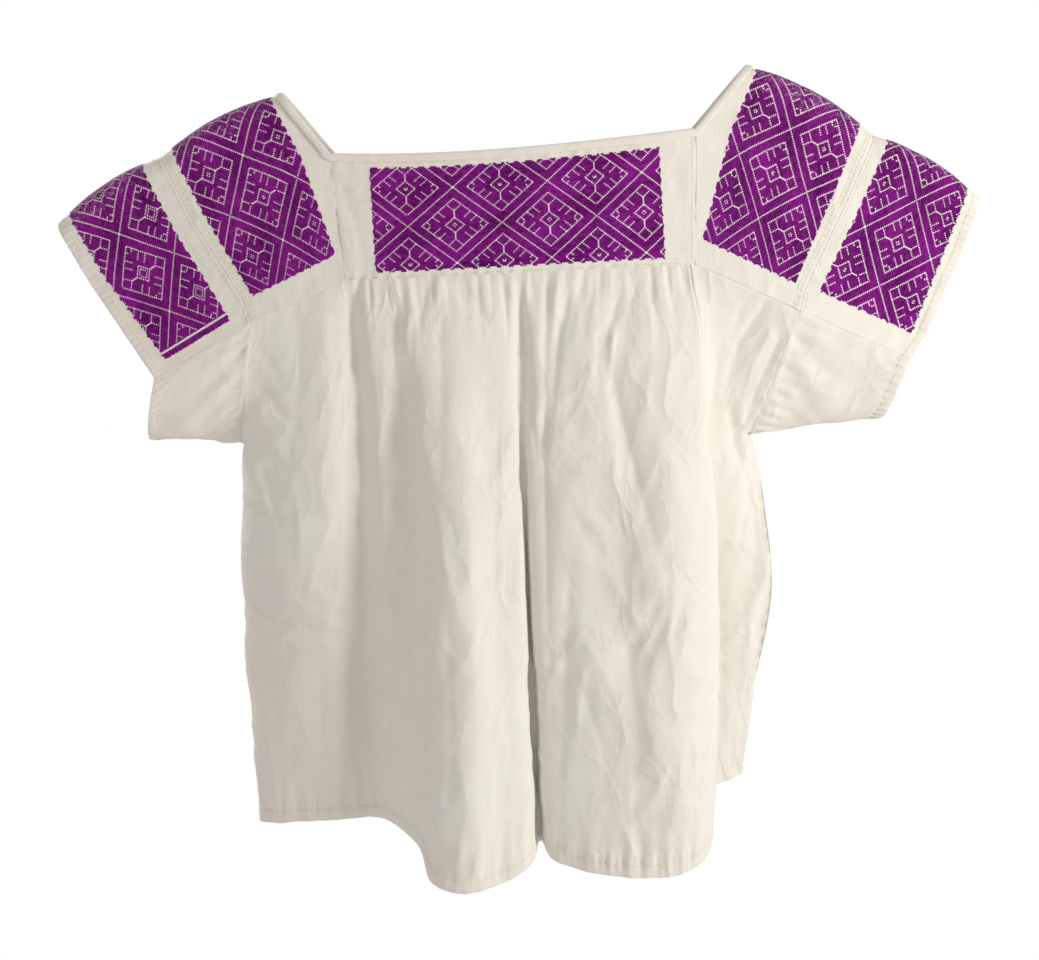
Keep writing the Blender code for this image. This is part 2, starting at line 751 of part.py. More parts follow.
def main():
    bpy.context.scene.unit_settings.system = "METRIC"
    for old in list(bpy.data.objects):
        bpy.data.objects.remove(old)
    bpy.context.scene.collection.children.link(bpy.data.collections.new(COLLECTION))
    panels = make_panels()
    draw_in_seams(panels)
    for name, panel in panels.items():
        if panel.field:
            lay_embroidery(name, panel)
        finish_panel(name, panel)
    make_binding()


if __name__ == "__main__":
    main()
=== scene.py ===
"""Dresses the embroidered blouse: fine cloth on the form of its solids, counted stitches, hems, seams
and the stage.

All the cloth is worked out in millimetres, x to the viewer's right, y away from the viewer and z up,
and becomes metres when a mesh is made. Left and right are the viewer's.
"""

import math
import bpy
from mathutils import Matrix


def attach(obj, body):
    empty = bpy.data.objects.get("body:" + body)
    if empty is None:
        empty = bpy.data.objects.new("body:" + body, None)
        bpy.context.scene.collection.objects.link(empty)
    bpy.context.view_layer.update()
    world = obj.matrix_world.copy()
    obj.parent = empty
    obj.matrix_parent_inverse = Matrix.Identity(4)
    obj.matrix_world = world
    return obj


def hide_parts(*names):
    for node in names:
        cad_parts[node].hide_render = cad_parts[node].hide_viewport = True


bl_info = {
    "name": "Embroidered blouse",
    "version": (1, 0, 0),
    "blender": (4, 5, 0),
    "location": "View3D > Sidebar > Blouse",
    "description": "Makes the fine cloth, the embroidery and the stage of a square-necked cotton blouse",
    "category": "Add Mesh",
}

from collections import namedtuple

import bpy
import numpy as np
from bpy.props import FloatProperty, FloatVectorProperty, IntProperty, PointerProperty
from mathutils import Vector

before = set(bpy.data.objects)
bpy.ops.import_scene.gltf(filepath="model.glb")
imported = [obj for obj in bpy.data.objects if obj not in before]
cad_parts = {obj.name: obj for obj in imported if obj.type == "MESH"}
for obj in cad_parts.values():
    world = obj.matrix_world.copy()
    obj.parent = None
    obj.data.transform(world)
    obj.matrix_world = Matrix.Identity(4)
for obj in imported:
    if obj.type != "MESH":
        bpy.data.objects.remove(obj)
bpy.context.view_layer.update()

MM = 0.001
SIGN = {"left": -1, "right": 1}
FRONT, BACK = -1, 1
FACE_NAMES = {FRONT: "front", BACK: "back"}

# The fold over the shoulder, the yoke's curve and the way the blouse hangs, as in the solids
RIDGE_RADIUS = 20.0
RIDGE_TURN = math.radians(80)
CUFF_FLATTENING = 0.25
BACK_FLATTENING = 0.1
RIDGE_BULGES = {"shoulder": 8.0, "sleeve": 7.0}
BULGE_REACH = 70.0
YOKE_BOW = 8.0
NECK_SAG = 6.0
HANG_RISE = 15.0
HANG_REACH = 200.0
YOKE_FIELD_TOP = 9.5
YOKE_FIELD_BOTTOM = 5.0
CHEST_SHARE = 0.32
SIDE_REACH = 5
BACK_STRIP = 14.0

# Points of each seam line on the flat front view, x outwards from the middle, and where on its way from
# the ridge to the field's foot it bends
BEND_SHARE = 0.44
Line = namedtuple("Line", "ridge bend field_foot seam_foot")
SEAM_LINES = {
    "left": {
        "neck": Line((185, 0), (145, -50), (134.7, -128), (132, -148)),
        "shoulder_field_inner": Line((193, -3.8), (168, -50), (140, -129), (138, -150.3)),
        "shoulder_field_outer": Line((274, -41.8), (248, -92), (207, -159), (202, -175.3)),
        "armhole": Line((283, -46), (257, -96), (214, -163), (209, -178)),
        "sleeve_field_inner": Line((297, -54.5), (271, -104), (225, -177), (219, -183.5)),
        "sleeve_field_outer": Line((359, -92.3), (330, -141), (279, -208), (274, -214.1)),
        "cuff": Line((370, -99), (340, -148), (294, -214), (288.5, -222)),
    },
    "right": {
        "neck": Line((186, 0), (144, -49), (144, -134), (144, -154)),
        "shoulder_field_inner": Line((192.5, -3.5), (171, -52), (149, -136), (149, -156.3)),
        "shoulder_field_outer": Line((277, -49.5), (256, -101), (224, -173), (221, -189.8)),
        "armhole": Line((289, -56), (266, -107), (232, -177), (228, -193)),
        "sleeve_field_inner": Line((299, -61.8), (277, -111), (243, -180), (239, -198)),
        "sleeve_field_outer": Line((366, -100.6), (348, -146), (320, -215), (309, -229.5)),
        "cuff": Line((377, -107), (360, -152), (331, -217), (319, -234)),
    },
}

# Which seam lines bound the edges and the field of each panel over the shoulder
TOP_LINES = {
    "shoulder": ("neck", "shoulder_field_inner", "shoulder_field_outer", "armhole"),
    "sleeve": ("armhole", "sleeve_field_inner", "sleeve_field_outer", "cuff"),
}

# The lowest points of the armhole and of the cuff, and the half width of the yoke's field at its top
# and foot
UNDERARM = {"left": (225, -281), "right": (197, -297)}
CUFF_FOOT = {"left": (302, -275), "right": (304, -285)}
YOKE_FIELD = {"left": (115, 109), "right": (115, 121)}

# The side seams, from the underarm to the hem
Side = namedtuple("Side", "z left_x left_y right_x right_y")
SIDE_SEAMS = (
    Side(-287, -225, 0, 197, 0),
    Side(-345, -228, 0, 208, -8),
    Side(-430, -226, 0, 217, -13),
    Side(-530, -224, 0, 202, -10),
    Side(-604, -222, 0, 197, -4),
)

# The body's fold lines, from the left side seam to the right one, with the grid columns up to the next.
# The middle valley of the front is less deep than in the solids, so that it shows as a thin line.
Fold = namedtuple("Fold", "top_x chest_x chest_y hem_x hem_y hem_z columns gathered")
FRONT_FOLDS = (
    Fold(-209, -227, 0, -222, 0, -610, 2, False),
    Fold(-204, -224, -18, -219, -15, -609, 2, False),
    Fold(-192, -209, -34, -202, -27, -606, 2, False),
    Fold(-172, -184, -47, -172, -35, -602, 2, False),
    Fold(-152, -154, -55, -144, -38, -600, 3, False),
    Fold(-132, -125, -50, -120, -30, -602, 4, True),
    Fold(-113, -104, -60, -100, -44, -604, 2, True),
    Fold(-100, -84, -66, -79, -67, -615, 4, True),
    Fold(-76, -65, -83, -66, -98, -634, 4, True),
    Fold(-52, -40, -88, -36, -112, -640, 4, True),
    Fold(-28, -17, -81, -7, -101, -637, 4, True),
    Fold(-8, 3, -75, 17, -89, -625, 2, True),
    Fold(5, 8, -65, 22, -70, -616, 2, True),
    Fold(14, 14, -76, 29, -88, -624, 4, True),
    Fold(42, 40, -84, 56, -98, -632, 6, True),
    Fold(82, 82, -86, 96, -107, -637, 4, True),
    Fold(108, 118, -91, 134, -106, -637, 4, True),
    Fold(134, 152, -80, 158, -88, -627, 4, True),
    Fold(144, 156, -62, 164, -60, -613, 3, False),
    Fold(162, 144, -42, 150, -36, -602, 3, False),
    Fold(188, 158, -30, 166, -22, -597, 3, False),
    Fold(214, 187, -21, 186, -14, -595, 2, False),
    Fold(228, 199, -8, 197, -4, -593, 0, False),
)
BACK_FOLDS = (
    Fold(-209, -227, 0, -222, 0, -610, 2, False),
    Fold(-204, -225, 17, -220, 16, -610, 2, False),
    Fold(-190, -212, 32, -205, 32, -611, 2, False),
    Fold(-166, -186, 43, -176, 46, -613, 3, False),
    Fold(-132, -146, 52, -138, 62, -616, 6, True),
    Fold(-98, -106, 61, -96, 79, -619, 6, True),
    Fold(-62, -64, 56, -58, 62, -618, 6, True),
    Fold(-24, -22, 66, -14, 86, -621, 6, True),
    Fold(16, 20, 58, 28, 64, -618, 6, True),
    Fold(58, 62, 66, 70, 84, -619, 6, True),
    Fold(98, 100, 58, 108, 63, -614, 6, True),
    Fold(144, 138, 54, 146, 68, -610, 3, False),
    Fold(176, 164, 48, 172, 55, -604, 3, False),
    Fold(205, 184, 34, 193, 34, -599, 2, False),
    Fold(218, 194, 14, 200, 12, -595, 2, False),
    Fold(228, 199, -8, 197, -4, -593, 0, False),
)

# Soft creases: how far each stands out, half its width, then its points (x, z)
FRONT_CREASES = (
    (-4.3, 5.0, (-129, -170), (-124, -240), (-122, -330), (-121, -440), (-119, -560)),
    (2.2, 7.0, (-112, -175), (-108, -260), (-104, -400), (-101, -520)),
    (-3.0, 7.0, (-92, -230), (-80, -300), (-78, -420), (-84, -560)),
    (-3.2, 4.0, (5, -178), (12, -240), (17, -300)),
    (-3.2, 4.0, (37, -182), (28, -235), (21, -285)),
    (-2.2, 3.4, (24, -262), (25, -330), (27, -430), (30, -520)),
    (-3.5, 8.0, (45, -380), (41, -440), (38, -520), (36, -600)),
    (2.4, 9.0, (62, -180), (70, -240), (83, -320), (104, -380), (121, -410)),
    (-4.1, 6.5, (74, -220), (84, -265), (94, -304), (108, -350), (121, -388)),
    (-2.2, 10.0, (88, -430), (96, -500), (98, -590)),
    (-2.0, 6.0, (-58, -190), (-56, -250), (-58, -330)),
    (1.6, 9.0, (-36, -330), (-30, -420), (-28, -540)),
    (-1.8, 7.0, (-52, -420), (-50, -500), (-52, -600)),
    (2.4, 4.5, (146, -175), (153, -230), (156, -300)),
    (-2.7, 6.0, (166, -205), (160, -260), (150, -330)),
    (-2.7, 4.0, (196, -262), (180, -290), (160, -318)),
    (2.2, 4.5, (200, -280), (186, -318), (168, -352)),
    (-2.2, 4.5, (203, -300), (194, -345), (186, -390)),
    (-2.0, 6.0, (168, -400), (176, -470), (178, -560)),
    (-1.8, 3.4, (-216, -290), (-196, -300), (-172, -322)),
    (2.2, 5.0, (-220, -300), (-204, -330), (-190, -368)),
    (-2.3, 4.5, (-205, -240), (-188, -262), (-166, -280)),
    (-2.8, 3.4, (-226, -340), (-200, -348), (-170, -340), (-146, -346)),
    (2.4, 3.6, (-226, -372), (-204, -384), (-178, -380)),
    (-3.0, 3.2, (-224, -426), (-200, -438), (-176, -436), (-136, -448)),
    (2.2, 3.6, (-222, -436), (-196, -450), (-160, -454)),
    (-1.9, 7.0, (-170, -185), (-172, -240), (-178, -300)),
    (1.8, 7.0, (-148, -185), (-146, -260), (-142, -350)),
    (-1.9, 8.0, (-160, -480), (-158, -540), (-156, -600)),
    (1.6, 7.0, (-190, -520), (-190, -560), (-188, -604)),
    (-2.6, 3.0, (-122, -160), (-129, -190), (-127, -222), (-116, -248)),
    (-2.6, 3.2, (-91, -176), (-94, -208), (-93, -235)),
    (2.6, 2.4, (-82, -186), (-83, -200), (-82, -218)),
    (-2.2, 2.6, (-67, -158), (-72, -184), (-82, -202)),
    (1.8, 2.4, (-58, -160), (-62, -178), (-70, -192)),
    (-1.5, 2.6, (-46, -160), (-36, -176), (-22, -192)),
    (-2.0, 2.6, (-37, -162), (-26, -179), (-12, -200)),
    (-2.2, 2.6, (-8, -158), (-4, -190), (-3, -210)),
    (-2.6, 2.8, (5, -160), (8, -200), (10, -246), (18, -296)),
    (-2.0, 2.4, (16, -160), (18, -186)),
    (-3.2, 3.0, (27, -158), (25, -203), (24, -246), (22, -300)),
    (1.8, 2.4, (33, -160), (32, -190), (31, -214)),
    (-2.8, 2.8, (43, -168), (36, -203), (32, -240), (27, -276)),
    (-2.2, 2.4, (52, -158), (47, -186), (42, -206)),
    (-2.2, 2.6, (63, -160), (58, -182), (55, -204)),
    (-2.4, 2.8, (82, -170), (74, -197), (71, -222)),
    (2.8, 2.4, (78, -196), (77, -210), (74, -240)),
    (-2.0, 3.0, (68, -198), (66, -231), (71, -276)),
    (-2.0, 2.6, (97, -160), (90, -180), (88, -196)),
    (-2.2, 2.8, (105, -160), (114, -188), (116, -210)),
    (-1.6, 2.6, (120, -152), (126, -172), (128, -190)),
    (-1.6, 2.4, (132, -150), (139, -172)),
    (-2.6, 3.2, (176, -262), (186, -300), (199, -336), (204, -374), (199, -415)),
    (2.4, 3.4, (184, -262), (194, -302), (207, -340), (212, -380), (206, -430)),
    (-2.8, 3.0, (199, -178), (181, -206), (174, -240), (177, -268)),
    (-2.4, 2.8, (213, -204), (198, -241), (189, -272)),
    (2.0, 3.0, (206, -196), (192, -226), (184, -262)),
    (-1.8, 2.8, (183, -174), (172, -215)),
    (1.8, 3.4, (202, -420), (196, -470), (193, -540)),
    (-1.8, 3.0, (-204, -312), (-196, -343), (-188, -366)),
    (1.2, 3.0, (-207, -182), (-190, -176), (-160, -158)),
    (-1.2, 3.0, (-206, -190), (-182, -184), (-152, -166)),
    (-1.4, 3.2, (-212, -206), (-196, -222), (-176, -252)),
    (-1.2, 3.0, (-66, -318), (-52, -338), (-36, -366)),
    (-1.3, 3.0, (-62, -380), (-40, -396), (-14, -398)),
    (1.0, 3.0, (-60, -430), (-46, -452), (-28, -470)),
    (-1.2, 3.0, (46, -330), (60, -360), (78, -372)),
    (-1.4, 3.4, (52, -470), (70, -520), (76, -580)),
    (1.2, 4.0, (98, -470), (112, -520), (120, -590)),
    (2.2, 3.0, (-112, -560), (-100, -584), (-97, -602)),
)
BACK_CREASES = (
    (-2.2, 6.0, (-140, -180), (-146, -260), (-142, -380)),
    (-1.8, 7.0, (-60, -180), (-63, -260), (-61, -420)),
    (1.4, 8.0, (-18, -190), (-24, -300), (-20, -420)),
    (-2.0, 6.0, (22, -180), (21, -260), (25, -400)),
    (1.4, 8.0, (60, -200), (66, -320), (68, -460)),
    (-2.0, 7.0, (102, -180), (100, -280), (104, -440)),
    (-1.8, 4.5, (-214, -288), (-194, -302), (-170, -330)),
    (-1.8, 4.5, (200, -290), (184, -312), (160, -330)),
    (1.4, 5.0, (190, -250), (174, -268), (152, -290)),
    (-1.0, 6.0, (-80, -330), (-40, -342), (0, -336)),
    (-1.0, 6.0, (30, -420), (70, -432), (110, -424)),
    (-2.6, 3.0, (-124, -160), (-130, -196), (-128, -240)),
    (-2.6, 3.0, (-96, -158), (-92, -186), (-90, -226)),
    (2.2, 2.6, (-74, -160), (-80, -190), (-84, -214)),
    (-2.4, 3.0, (-42, -158), (-38, -188), (-34, -236)),
    (-2.6, 3.0, (-6, -158), (-4, -196), (-8, -250)),
    (2.2, 2.6, (38, -158), (34, -182), (36, -208)),
    (-2.4, 3.0, (48, -158), (46, -196), (40, -244)),
    (-2.4, 3.0, (80, -160), (86, -190), (88, -228)),
    (-2.4, 3.0, (118, -156), (116, -190), (120, -222)),
    (1.8, 2.6, (134, -154), (138, -182)),
    (-1.8, 4.0, (-200, -330), (-182, -362), (-174, -400)),
    (-1.6, 4.5, (-206, -430), (-180, -440), (-150, -436)),
    (-1.8, 5.0, (-40, -470), (-30, -520), (-34, -590)),
    (-1.8, 4.5, (120, -330), (136, -380), (140, -440)),
    (-1.8, 5.0, (150, -500), (148, -550), (152, -600)),
)
YOKE_CREASES = (
    (-1.1, 3.0, (-134, -82), (-123, -124), (-117, -150)),
    (0.8, 3.0, (-128, -78), (-118, -100)),
    (0.8, 2.6, (-138, -100), (-131, -128), (-128, -152)),
    (-0.8, 4.0, (126, -70), (133, -104), (130, -140)),
    (0.8, 2.6, (139, -62), (138, -100)),
)
# On the underarms the points are (from the armhole, from the front seam)
UNDERARM_CREASES = (
    (-2.2, 4.5, (4, 22), (30, 34), (62, 40)),
    (1.6, 5.0, (6, 34), (34, 52), (70, 62)),
    (-2.0, 4.5, (4, 48), (30, 66), (64, 84)),
    (1.4, 6.0, (20, 12), (48, 20), (78, 16)),
    (-1.6, 4.0, (5, 66), (26, 84), (50, 100)),
    (-1.8, 5.0, (5, 150), (30, 158), (66, 150)),
    (-1.4, 5.5, (5, 176), (34, 188), (70, 196)),
)
# The share of a crease over which it begins, how soon it dies out, and how round its ridge is
CREASE_START = 0.12
CREASE_TAPER = 0.7
CREASE_SOFTNESS = 0.3

# Lengths that set the grids' rows and columns: round half a sleeve, along it, across the yoke's field,
# down the armhole and down the side seam. The body is about BODY_LENGTH long from its seam to the hem.
# Even columns are measured on a path of many samples, for the body at GRID_LEVEL of its way down.
SLEEVE_HALF_ROUND = 115
SLEEVE_LENGTH = 95
YOKE_FIELD_WIDTH = 235
ARMHOLE_DEPTH = 80
SIDE_LENGTH = 232
BODY_LENGTH = 460
EDGE_COLUMNS = 10
PATH_SAMPLES = 500
BODY_SAMPLES = 1600
GRID_LEVEL = 0.7

# The binding's section: how far into the cloth from the neck's edge, and how far out of it. The neck's
# edge is taken in this many steps along each yoke and over each shoulder, and outwards is away from a
# point below it.
YOKE_STEPS = 90
SHOULDER_STEPS = 60
BELOW_NECK = (0, 0, -120)
BINDING_SECTION = (
    (5.5, -1.0), (3.0, -1.05), (0.4, -1.0), (-0.5, -0.6), (-0.8, 0.0),
    (-0.5, 0.65), (0.4, 1.1), (2.6, 1.2), (4.4, 1.05), (5.4, 0.6),
)

# What the cotton's colour is multiplied by in its cooler and warmer patches
COOL_PATCHES = (0.98, 0.995, 0.98)
WARM_PATCHES = (1.0, 0.95, 0.945)

# The stage, in metres: the floor and its depth below the shoulders, the camera, and the lights with the
# width of each, all turned to one point of the blouse
FLOOR_RADIUS = 1.1
FLOOR_DEPTH = 1.4
FLOOR_SIDES = 96
CAMERA_PLACE = (0.005, -1.2, -0.1215)
CAMERA_SENSOR = 36
LIGHT_AIM = (0, 0, -0.3)
ROOM_COLOUR = "#FFF9F3"
LIGHTS = {
    "key": ((1.35, -0.85, -0.05), 0.4, "#FFFDF6"),
    "fill": ((-1.2, -1.1, 0.1), 1.2, "#FFF8F0"),
    "back": ((-1.3, 1.0, 0.3), 0.5, "#FFFFFF"),
}

# A traditional lattice of diamonds, as shares of half a cell: white lines on purple
INNER_DIAMOND = 0.70
HEART_DIAMOND = 0.2
HEART_DOT = 0.04
STEM_END = 0.38
TICK_FOOT = 0.39
LONG_TICKS = (-0.38, 0.0, 0.24)
SHORT_TICK = 0.5
SHORT_TICK_FOOT = 0.56

# The left sleeve's hearts have a ring, as a multiple of the dot, and its front foot a solid bar with
# one white line near its end, all in millimetres
RINGED = 3
SLEEVE_BAR = 7.0
BAR_LINE_BACK = 1.5
BAR_LINE_HALF_WIDTH = 0.7

# How the stitches are laid, in millimetres: the step at which a row is tried, the shortest float, how
# far two floats of a length overlap, how unevenly they are cut, the waves of the field's long edges and
# how far a stitch's tips go into the cloth. A stitch is half as wide as this share of the rows' pitch.
ROW_STEP = 0.2
SHORTEST_FLOAT = 0.7
FLOAT_OVERLAP = 0.35
FLOAT_UNEVENNESS = 0.8
SCALLOP_DEPTH = 1.3
SCALLOP_LENGTH = 9.4
STITCH_SINK = 0.06
STITCH_FACES = (
    (0, 2, 1), (0, 3, 2), (0, 1, 3), (1, 2, 5), (1, 5, 4), (2, 3, 6),
    (2, 6, 5), (3, 1, 4), (3, 4, 6), (7, 4, 5), (7, 5, 6), (7, 6, 4),
)
STITCH_POINTS = 8
STITCH_HALF_WIDTH = 0.66

# The rows of sewing stitches down each kind of panel: how far in from its side edge each lies, in
# millimetres, and whether from its last column. The yoke has one more, along its foot.
SEWING_DOWN = {
    "yoke": ((3.0, False), (3.0, True)),
    "shoulder": ((3.3, True), (6.0, True)),
    "sleeve": ((3.3, False), (7.0, True)),
    "underarm": ((8.2, True),),
}
YOKE_FOOT_SEWING = 1.6

# Where a crossing of the lattice falls in each field: from its left edge or the shoulder's ridge, and
# from its top or inner edge
CROSSINGS = {
    "front_yoke": (66.0, 17.5),
    "back_yoke": (66.0, 20.0),
    "left_shoulder": (46.4, 38.5),
    "right_shoulder": (46.4, 42.0),
    "left_sleeve": (49.2, 40.6),
    "right_sleeve": (43.4, 41.3),
}


def linear(hex_colour):
    """An sRGB hex colour as linear red, green and blue."""
    shares = [int(hex_colour[i : i + 2], 16) / 255 for i in (1, 3, 5)]
    return tuple(c / 12.92 if c <= 0.04045 else ((c + 0.055) / 1.055) ** 2.4 for c in shares)


def metres(name, description, default, **limits):
    """A setting in metres."""
    return FloatProperty(name=name, description=description, default=default, unit="LENGTH", **limits)


def tint(name, description, hex_colour):
    """A setting for a colour."""
    colour = linear(hex_colour)
    return FloatVectorProperty(name=name, description=description, default=colour, subtype="COLOR")


def power(name, description, default):
    """A setting for a light."""
    return FloatProperty(name=name, description=description, default=default)


class ClothSettings(bpy.types.PropertyGroup):
    """Sizes and colours of the cotton cloth."""

    wall: metres("Cloth", "Thickness of the single cloth", 0.0006, min=0.0002)
    doubled_wall: metres("Doubled cloth", "Thickness under the embroidery", 0.0009)
    cell: metres("Cell", "Width of one face of the fine cloth", 0.0026, min=0.002)
    back_cell: metres("Back cell", "Width of one face on the back", 0.0034, min=0.002)
    gather_height: metres("Gathers", "Height of the small gathers", 0.0012)
    hem: metres("Hem", "Depth of the turned hem", 0.010)
    thread_pitch: metres("Weave", "Spacing of the drawn threads", 0.0006)
    colour: tint("Cotton", "Colour of the cloth", "#F1EFE9")
    shade: tint("Slub", "Colour of the thicker threads", "#E8E2D8")
    sewing: tint("Sewing thread", "Colour of the seams' stitches", "#D8CDB9")


class EmbroiderySettings(bpy.types.PropertyGroup):
    """Sizes and colours of the counted stitches."""

    row_pitch: metres("Row pitch", "Spacing of the rows of stitches", 0.0011, min=0.0008)
    longest: metres("Longest stitch", "Longest float", 0.0046)
    gap: metres("White line", "Width of the bare cloth in a line", 0.0006)
    height: metres("Height", "Height of a stitch", 0.00055)
    cell_length: metres("Cell length", "Period of the lattice along a field", 0.0745)
    cell_width: metres("Cell width", "Period of the lattice across a field", 0.0605)
    colour: tint("Thread", "Colour of the thread", "#951E98")
    dark: tint("Dark thread", "Colour of the darker lengths", "#58005C")
    seed: IntProperty(name="Unevenness", description="Which uneven hand the stitches show", default=7)


class StageSettings(bpy.types.PropertyGroup):
    """The camera's angle and lens, and the studio's light."""

    pitch: FloatProperty(
        name="Pitch",
        description="How far the camera looks down",
        default=math.radians(9.6),
        subtype="ANGLE",
    )
    lens: FloatProperty(name="Lens", description="Focal length", default=50.24, unit="CAMERA")
    key: power("Key light", "Power of the light from the right", 16.5)
    fill: power("Fill light", "Power of the light from the left", 3.2)
    back: power("Back light", "Power of the light from behind", 12.0)
    room: power("Room light", "Strength of the light from all round", 0.5)
    floor: tint("Floor", "Colour of the floor", "#FCFCFB")


# A sheet of cloth: its points and outward normals in millimetres, rows by columns, and which rows and
# columns bound its embroidered field
Sheet = namedtuple("Sheet", "points normals field")
Field = namedtuple("Field", "first_row last_row first_column last_column")


def from_first(points, axis=0):
    """How far along a path each point is, or along a grid's columns (axis 0) or rows (axis 1)."""
    steps = np.linalg.norm(np.diff(points, axis=axis), axis=-1)
    return np.insert(np.cumsum(steps, axis=axis), 0, 0.0, axis=axis)


def unit(vectors):
    """The vectors drawn to a length of 1."""
    return vectors / np.maximum(np.linalg.norm(vectors, axis=-1, keepdims=True), 1e-9)


def between(stops, place):
    """Points between the whole numbers of a list of point arrays."""
    stops = np.stack(stops)
    low = np.clip(np.floor(place).astype(int), 0, len(stops) - 2)
    first = np.take_along_axis(stops, low[None, ..., None], 0)[0]
    second = np.take_along_axis(stops, low[None, ..., None] + 1, 0)[0]
    return first + (second - first) * (place - low)[..., None]


def ease(low, high, value):
    """0 up to low, 1 from high, and a soft step between."""
    share = np.clip((value - low) / (high - low), 0, 1)
    return share * share * (3 - 2 * share)


def table_value(stops, values, at):
    """Smooth interpolation through a table's values, with the slopes of its neighbours at each stop."""
    stops, values = np.asarray(stops, float), np.asarray(values, float)
    ahead = np.minimum(np.arange(len(stops)) + 1, len(stops) - 1)
    behind = np.maximum(np.arange(len(stops)) - 1, 0)
    slopes = (values[ahead] - values[behind]) / (stops[ahead] - stops[behind])
    span = np.clip(np.searchsorted(stops, at, side="right") - 1, 0, len(stops) - 2)
    width = stops[span + 1] - stops[span]
    share = (at - stops[span]) / width
    square, cube = share**2, share**3
    return (
        values[span] * (2 * cube - 3 * square + 1)
        + slopes[span] * width * (cube - 2 * square + share)
        + values[span + 1] * (3 * square - 2 * cube)
        + slopes[span + 1] * width * (cube - square)
    )


def ripple(x, z, size, seed, upright=1.0):
    """Soft uneven waves of about this size, from a few slanted sines. upright above 1 draws them out in
    height."""
    rng = np.random.default_rng(seed)
    total = np.zeros(np.shape(x))
    waves = 6
    for _ in range(waves):
        angle, phase = rng.uniform(0, math.pi), rng.uniform(0, 2 * math.pi)
        scale = rng.uniform(0.7, 1.4)
        turn = math.cos(angle) * x + math.sin(angle) * z / upright
        total += np.sin(2 * math.pi * turn / (size * scale) + phase)
    return total / waves


def crumple(x, z, size, seed, upright=1.0):
    """Faint sharp ridges in loose patches, as in thin cotton that was folded and then only hung out."""
    rng = np.random.default_rng(seed)
    total = np.zeros(np.shape(x))
    for patch in range(4):
        angle, phase = rng.uniform(0, math.pi), rng.uniform(0, math.pi)
        bend = ripple(x, z, size * 3.1, seed + 50 + patch, upright) * size * 0.9
        turn = math.cos(angle) * x + math.sin(angle) * z / upright + bend
        ridge = 1 - 2 * np.sqrt(abs(np.sin(math.pi * turn / size + phase)) + 0.02)
        total += ridge * ease(0.05, 0.45, ripple(x, z, size * 4.3, seed + 90 + patch))
    return total


def crease_height(creases, x, z):
    """How far the listed creases stand out at points of the flat view: sharp at the middle,
    strongest near the first point, and dying out towards the last."""
    total = np.zeros(x.shape)
    for height, half_width, *points in creases:
        points = np.array(points, float)
        lengths = np.hypot(*np.diff(points, axis=0).T)
        starts = np.insert(np.cumsum(lengths), 0, 0.0)
        nearest = np.full(x.shape, np.inf)
        along = np.zeros(x.shape)
        for i, length in enumerate(lengths):
            run = points[i + 1] - points[i]
            dx, dz = x - points[i, 0], z - points[i, 1]
            share = np.clip((dx * run[0] + dz * run[1]) / length**2, 0, 1)
            away = np.hypot(dx - share * run[0], dz - share * run[1])
            nearer = away < nearest
            nearest = np.where(nearer, away, nearest)
            along = np.where(nearer, (starts[i] + share * length) / starts[-1], along)
        fade = ease(-CREASE_START, CREASE_START, along) * (1 - along) ** CREASE_TAPER
        width = half_width * (1.2 - 0.5 * along)
        soft = CREASE_SOFTNESS * half_width
        total += height * fade * np.exp(-(np.hypot(nearest, soft) - soft) / width)
    return total


def fold_depth(below):
    """How far the cloth stands forward at a distance below the shoulder's ridge: round, then a steep
    fall."""
    round_part = RIDGE_RADIUS * (1 - math.cos(RIDGE_TURN))
    arc = np.sqrt(np.maximum(below * (2 * RIDGE_RADIUS - below), 0))
    fall = RIDGE_RADIUS * math.sin(RIDGE_TURN) + (below - round_part) / math.tan(RIDGE_TURN)
    return np.where(below < round_part, arc, fall)


def lift(chart, side, face):
    """Points of the flat front view as points in space, on the front or the back of the shoulder."""
    lines = SEAM_LINES[side]
    nearest = np.full(chart.shape[:-1], np.inf)
    rise = np.zeros(chart.shape)
    for stretch, start, end in (("shoulder", "neck", "armhole"), ("sleeve", "armhole", "cuff")):
        foot = np.array(lines[start].ridge, float)
        run = np.array(lines[end].ridge, float) - foot
        length = np.hypot(*run)
        share = np.clip((chart - foot) @ run / length**2, 0, 1)
        below = np.linalg.norm(chart - foot - share[..., None] * run, axis=-1)
        near = np.maximum(0, 1 - below / BULGE_REACH) ** 2
        stand = RIDGE_BULGES[stretch] * 4 * share * (1 - share) * near
        up = np.array([-run[1], run[0]]) / length
        nearer = below < nearest
        nearest = np.where(nearer, below, nearest)
        rise = np.where(nearer[..., None], stand[..., None] * up, rise)
    neck, cuff = lines["neck"].ridge[0], lines["cuff"].ridge[0]
    outwards = np.clip((chart[..., 0] - neck) / (cuff - neck), 0, 1)
    flatter = 1 - CUFF_FLATTENING * outwards - BACK_FLATTENING * (face > 0)
    flat = chart + rise
    return np.stack([SIGN[side] * flat[..., 0], face * fold_depth(nearest) * flatter, flat[..., 1]], -1)


def lift_round(chart, side, turn):
    """Points of the flat front view in space: on the front where turn is below 0, else on the back."""
    return np.where(turn[..., None] < 0, lift(chart, side, FRONT), lift(chart, side, BACK))


def hang(points):
    """The blouse hangs a little to one side, so that its right shoulder is higher than its left."""
    hung = points.copy()
    hung[..., 2] += HANG_RISE * np.tanh(points[..., 0] / HANG_REACH)
    return hung


def seam_foot(side, name):
    """Where a seam line ends at its foot on the flat front view."""
    return np.array(SEAM_LINES[side][name].seam_foot, float)


def along_line(line, fall):
    """Points on a seam line: fall is 0 at the ridge, 1 at the field's foot and 2 at the seam below."""
    stops = (0, BEND_SHARE, 1, 2)
    return np.stack([np.interp(fall, stops, [point[axis] for point in line]) for axis in (0, 1)], -1)


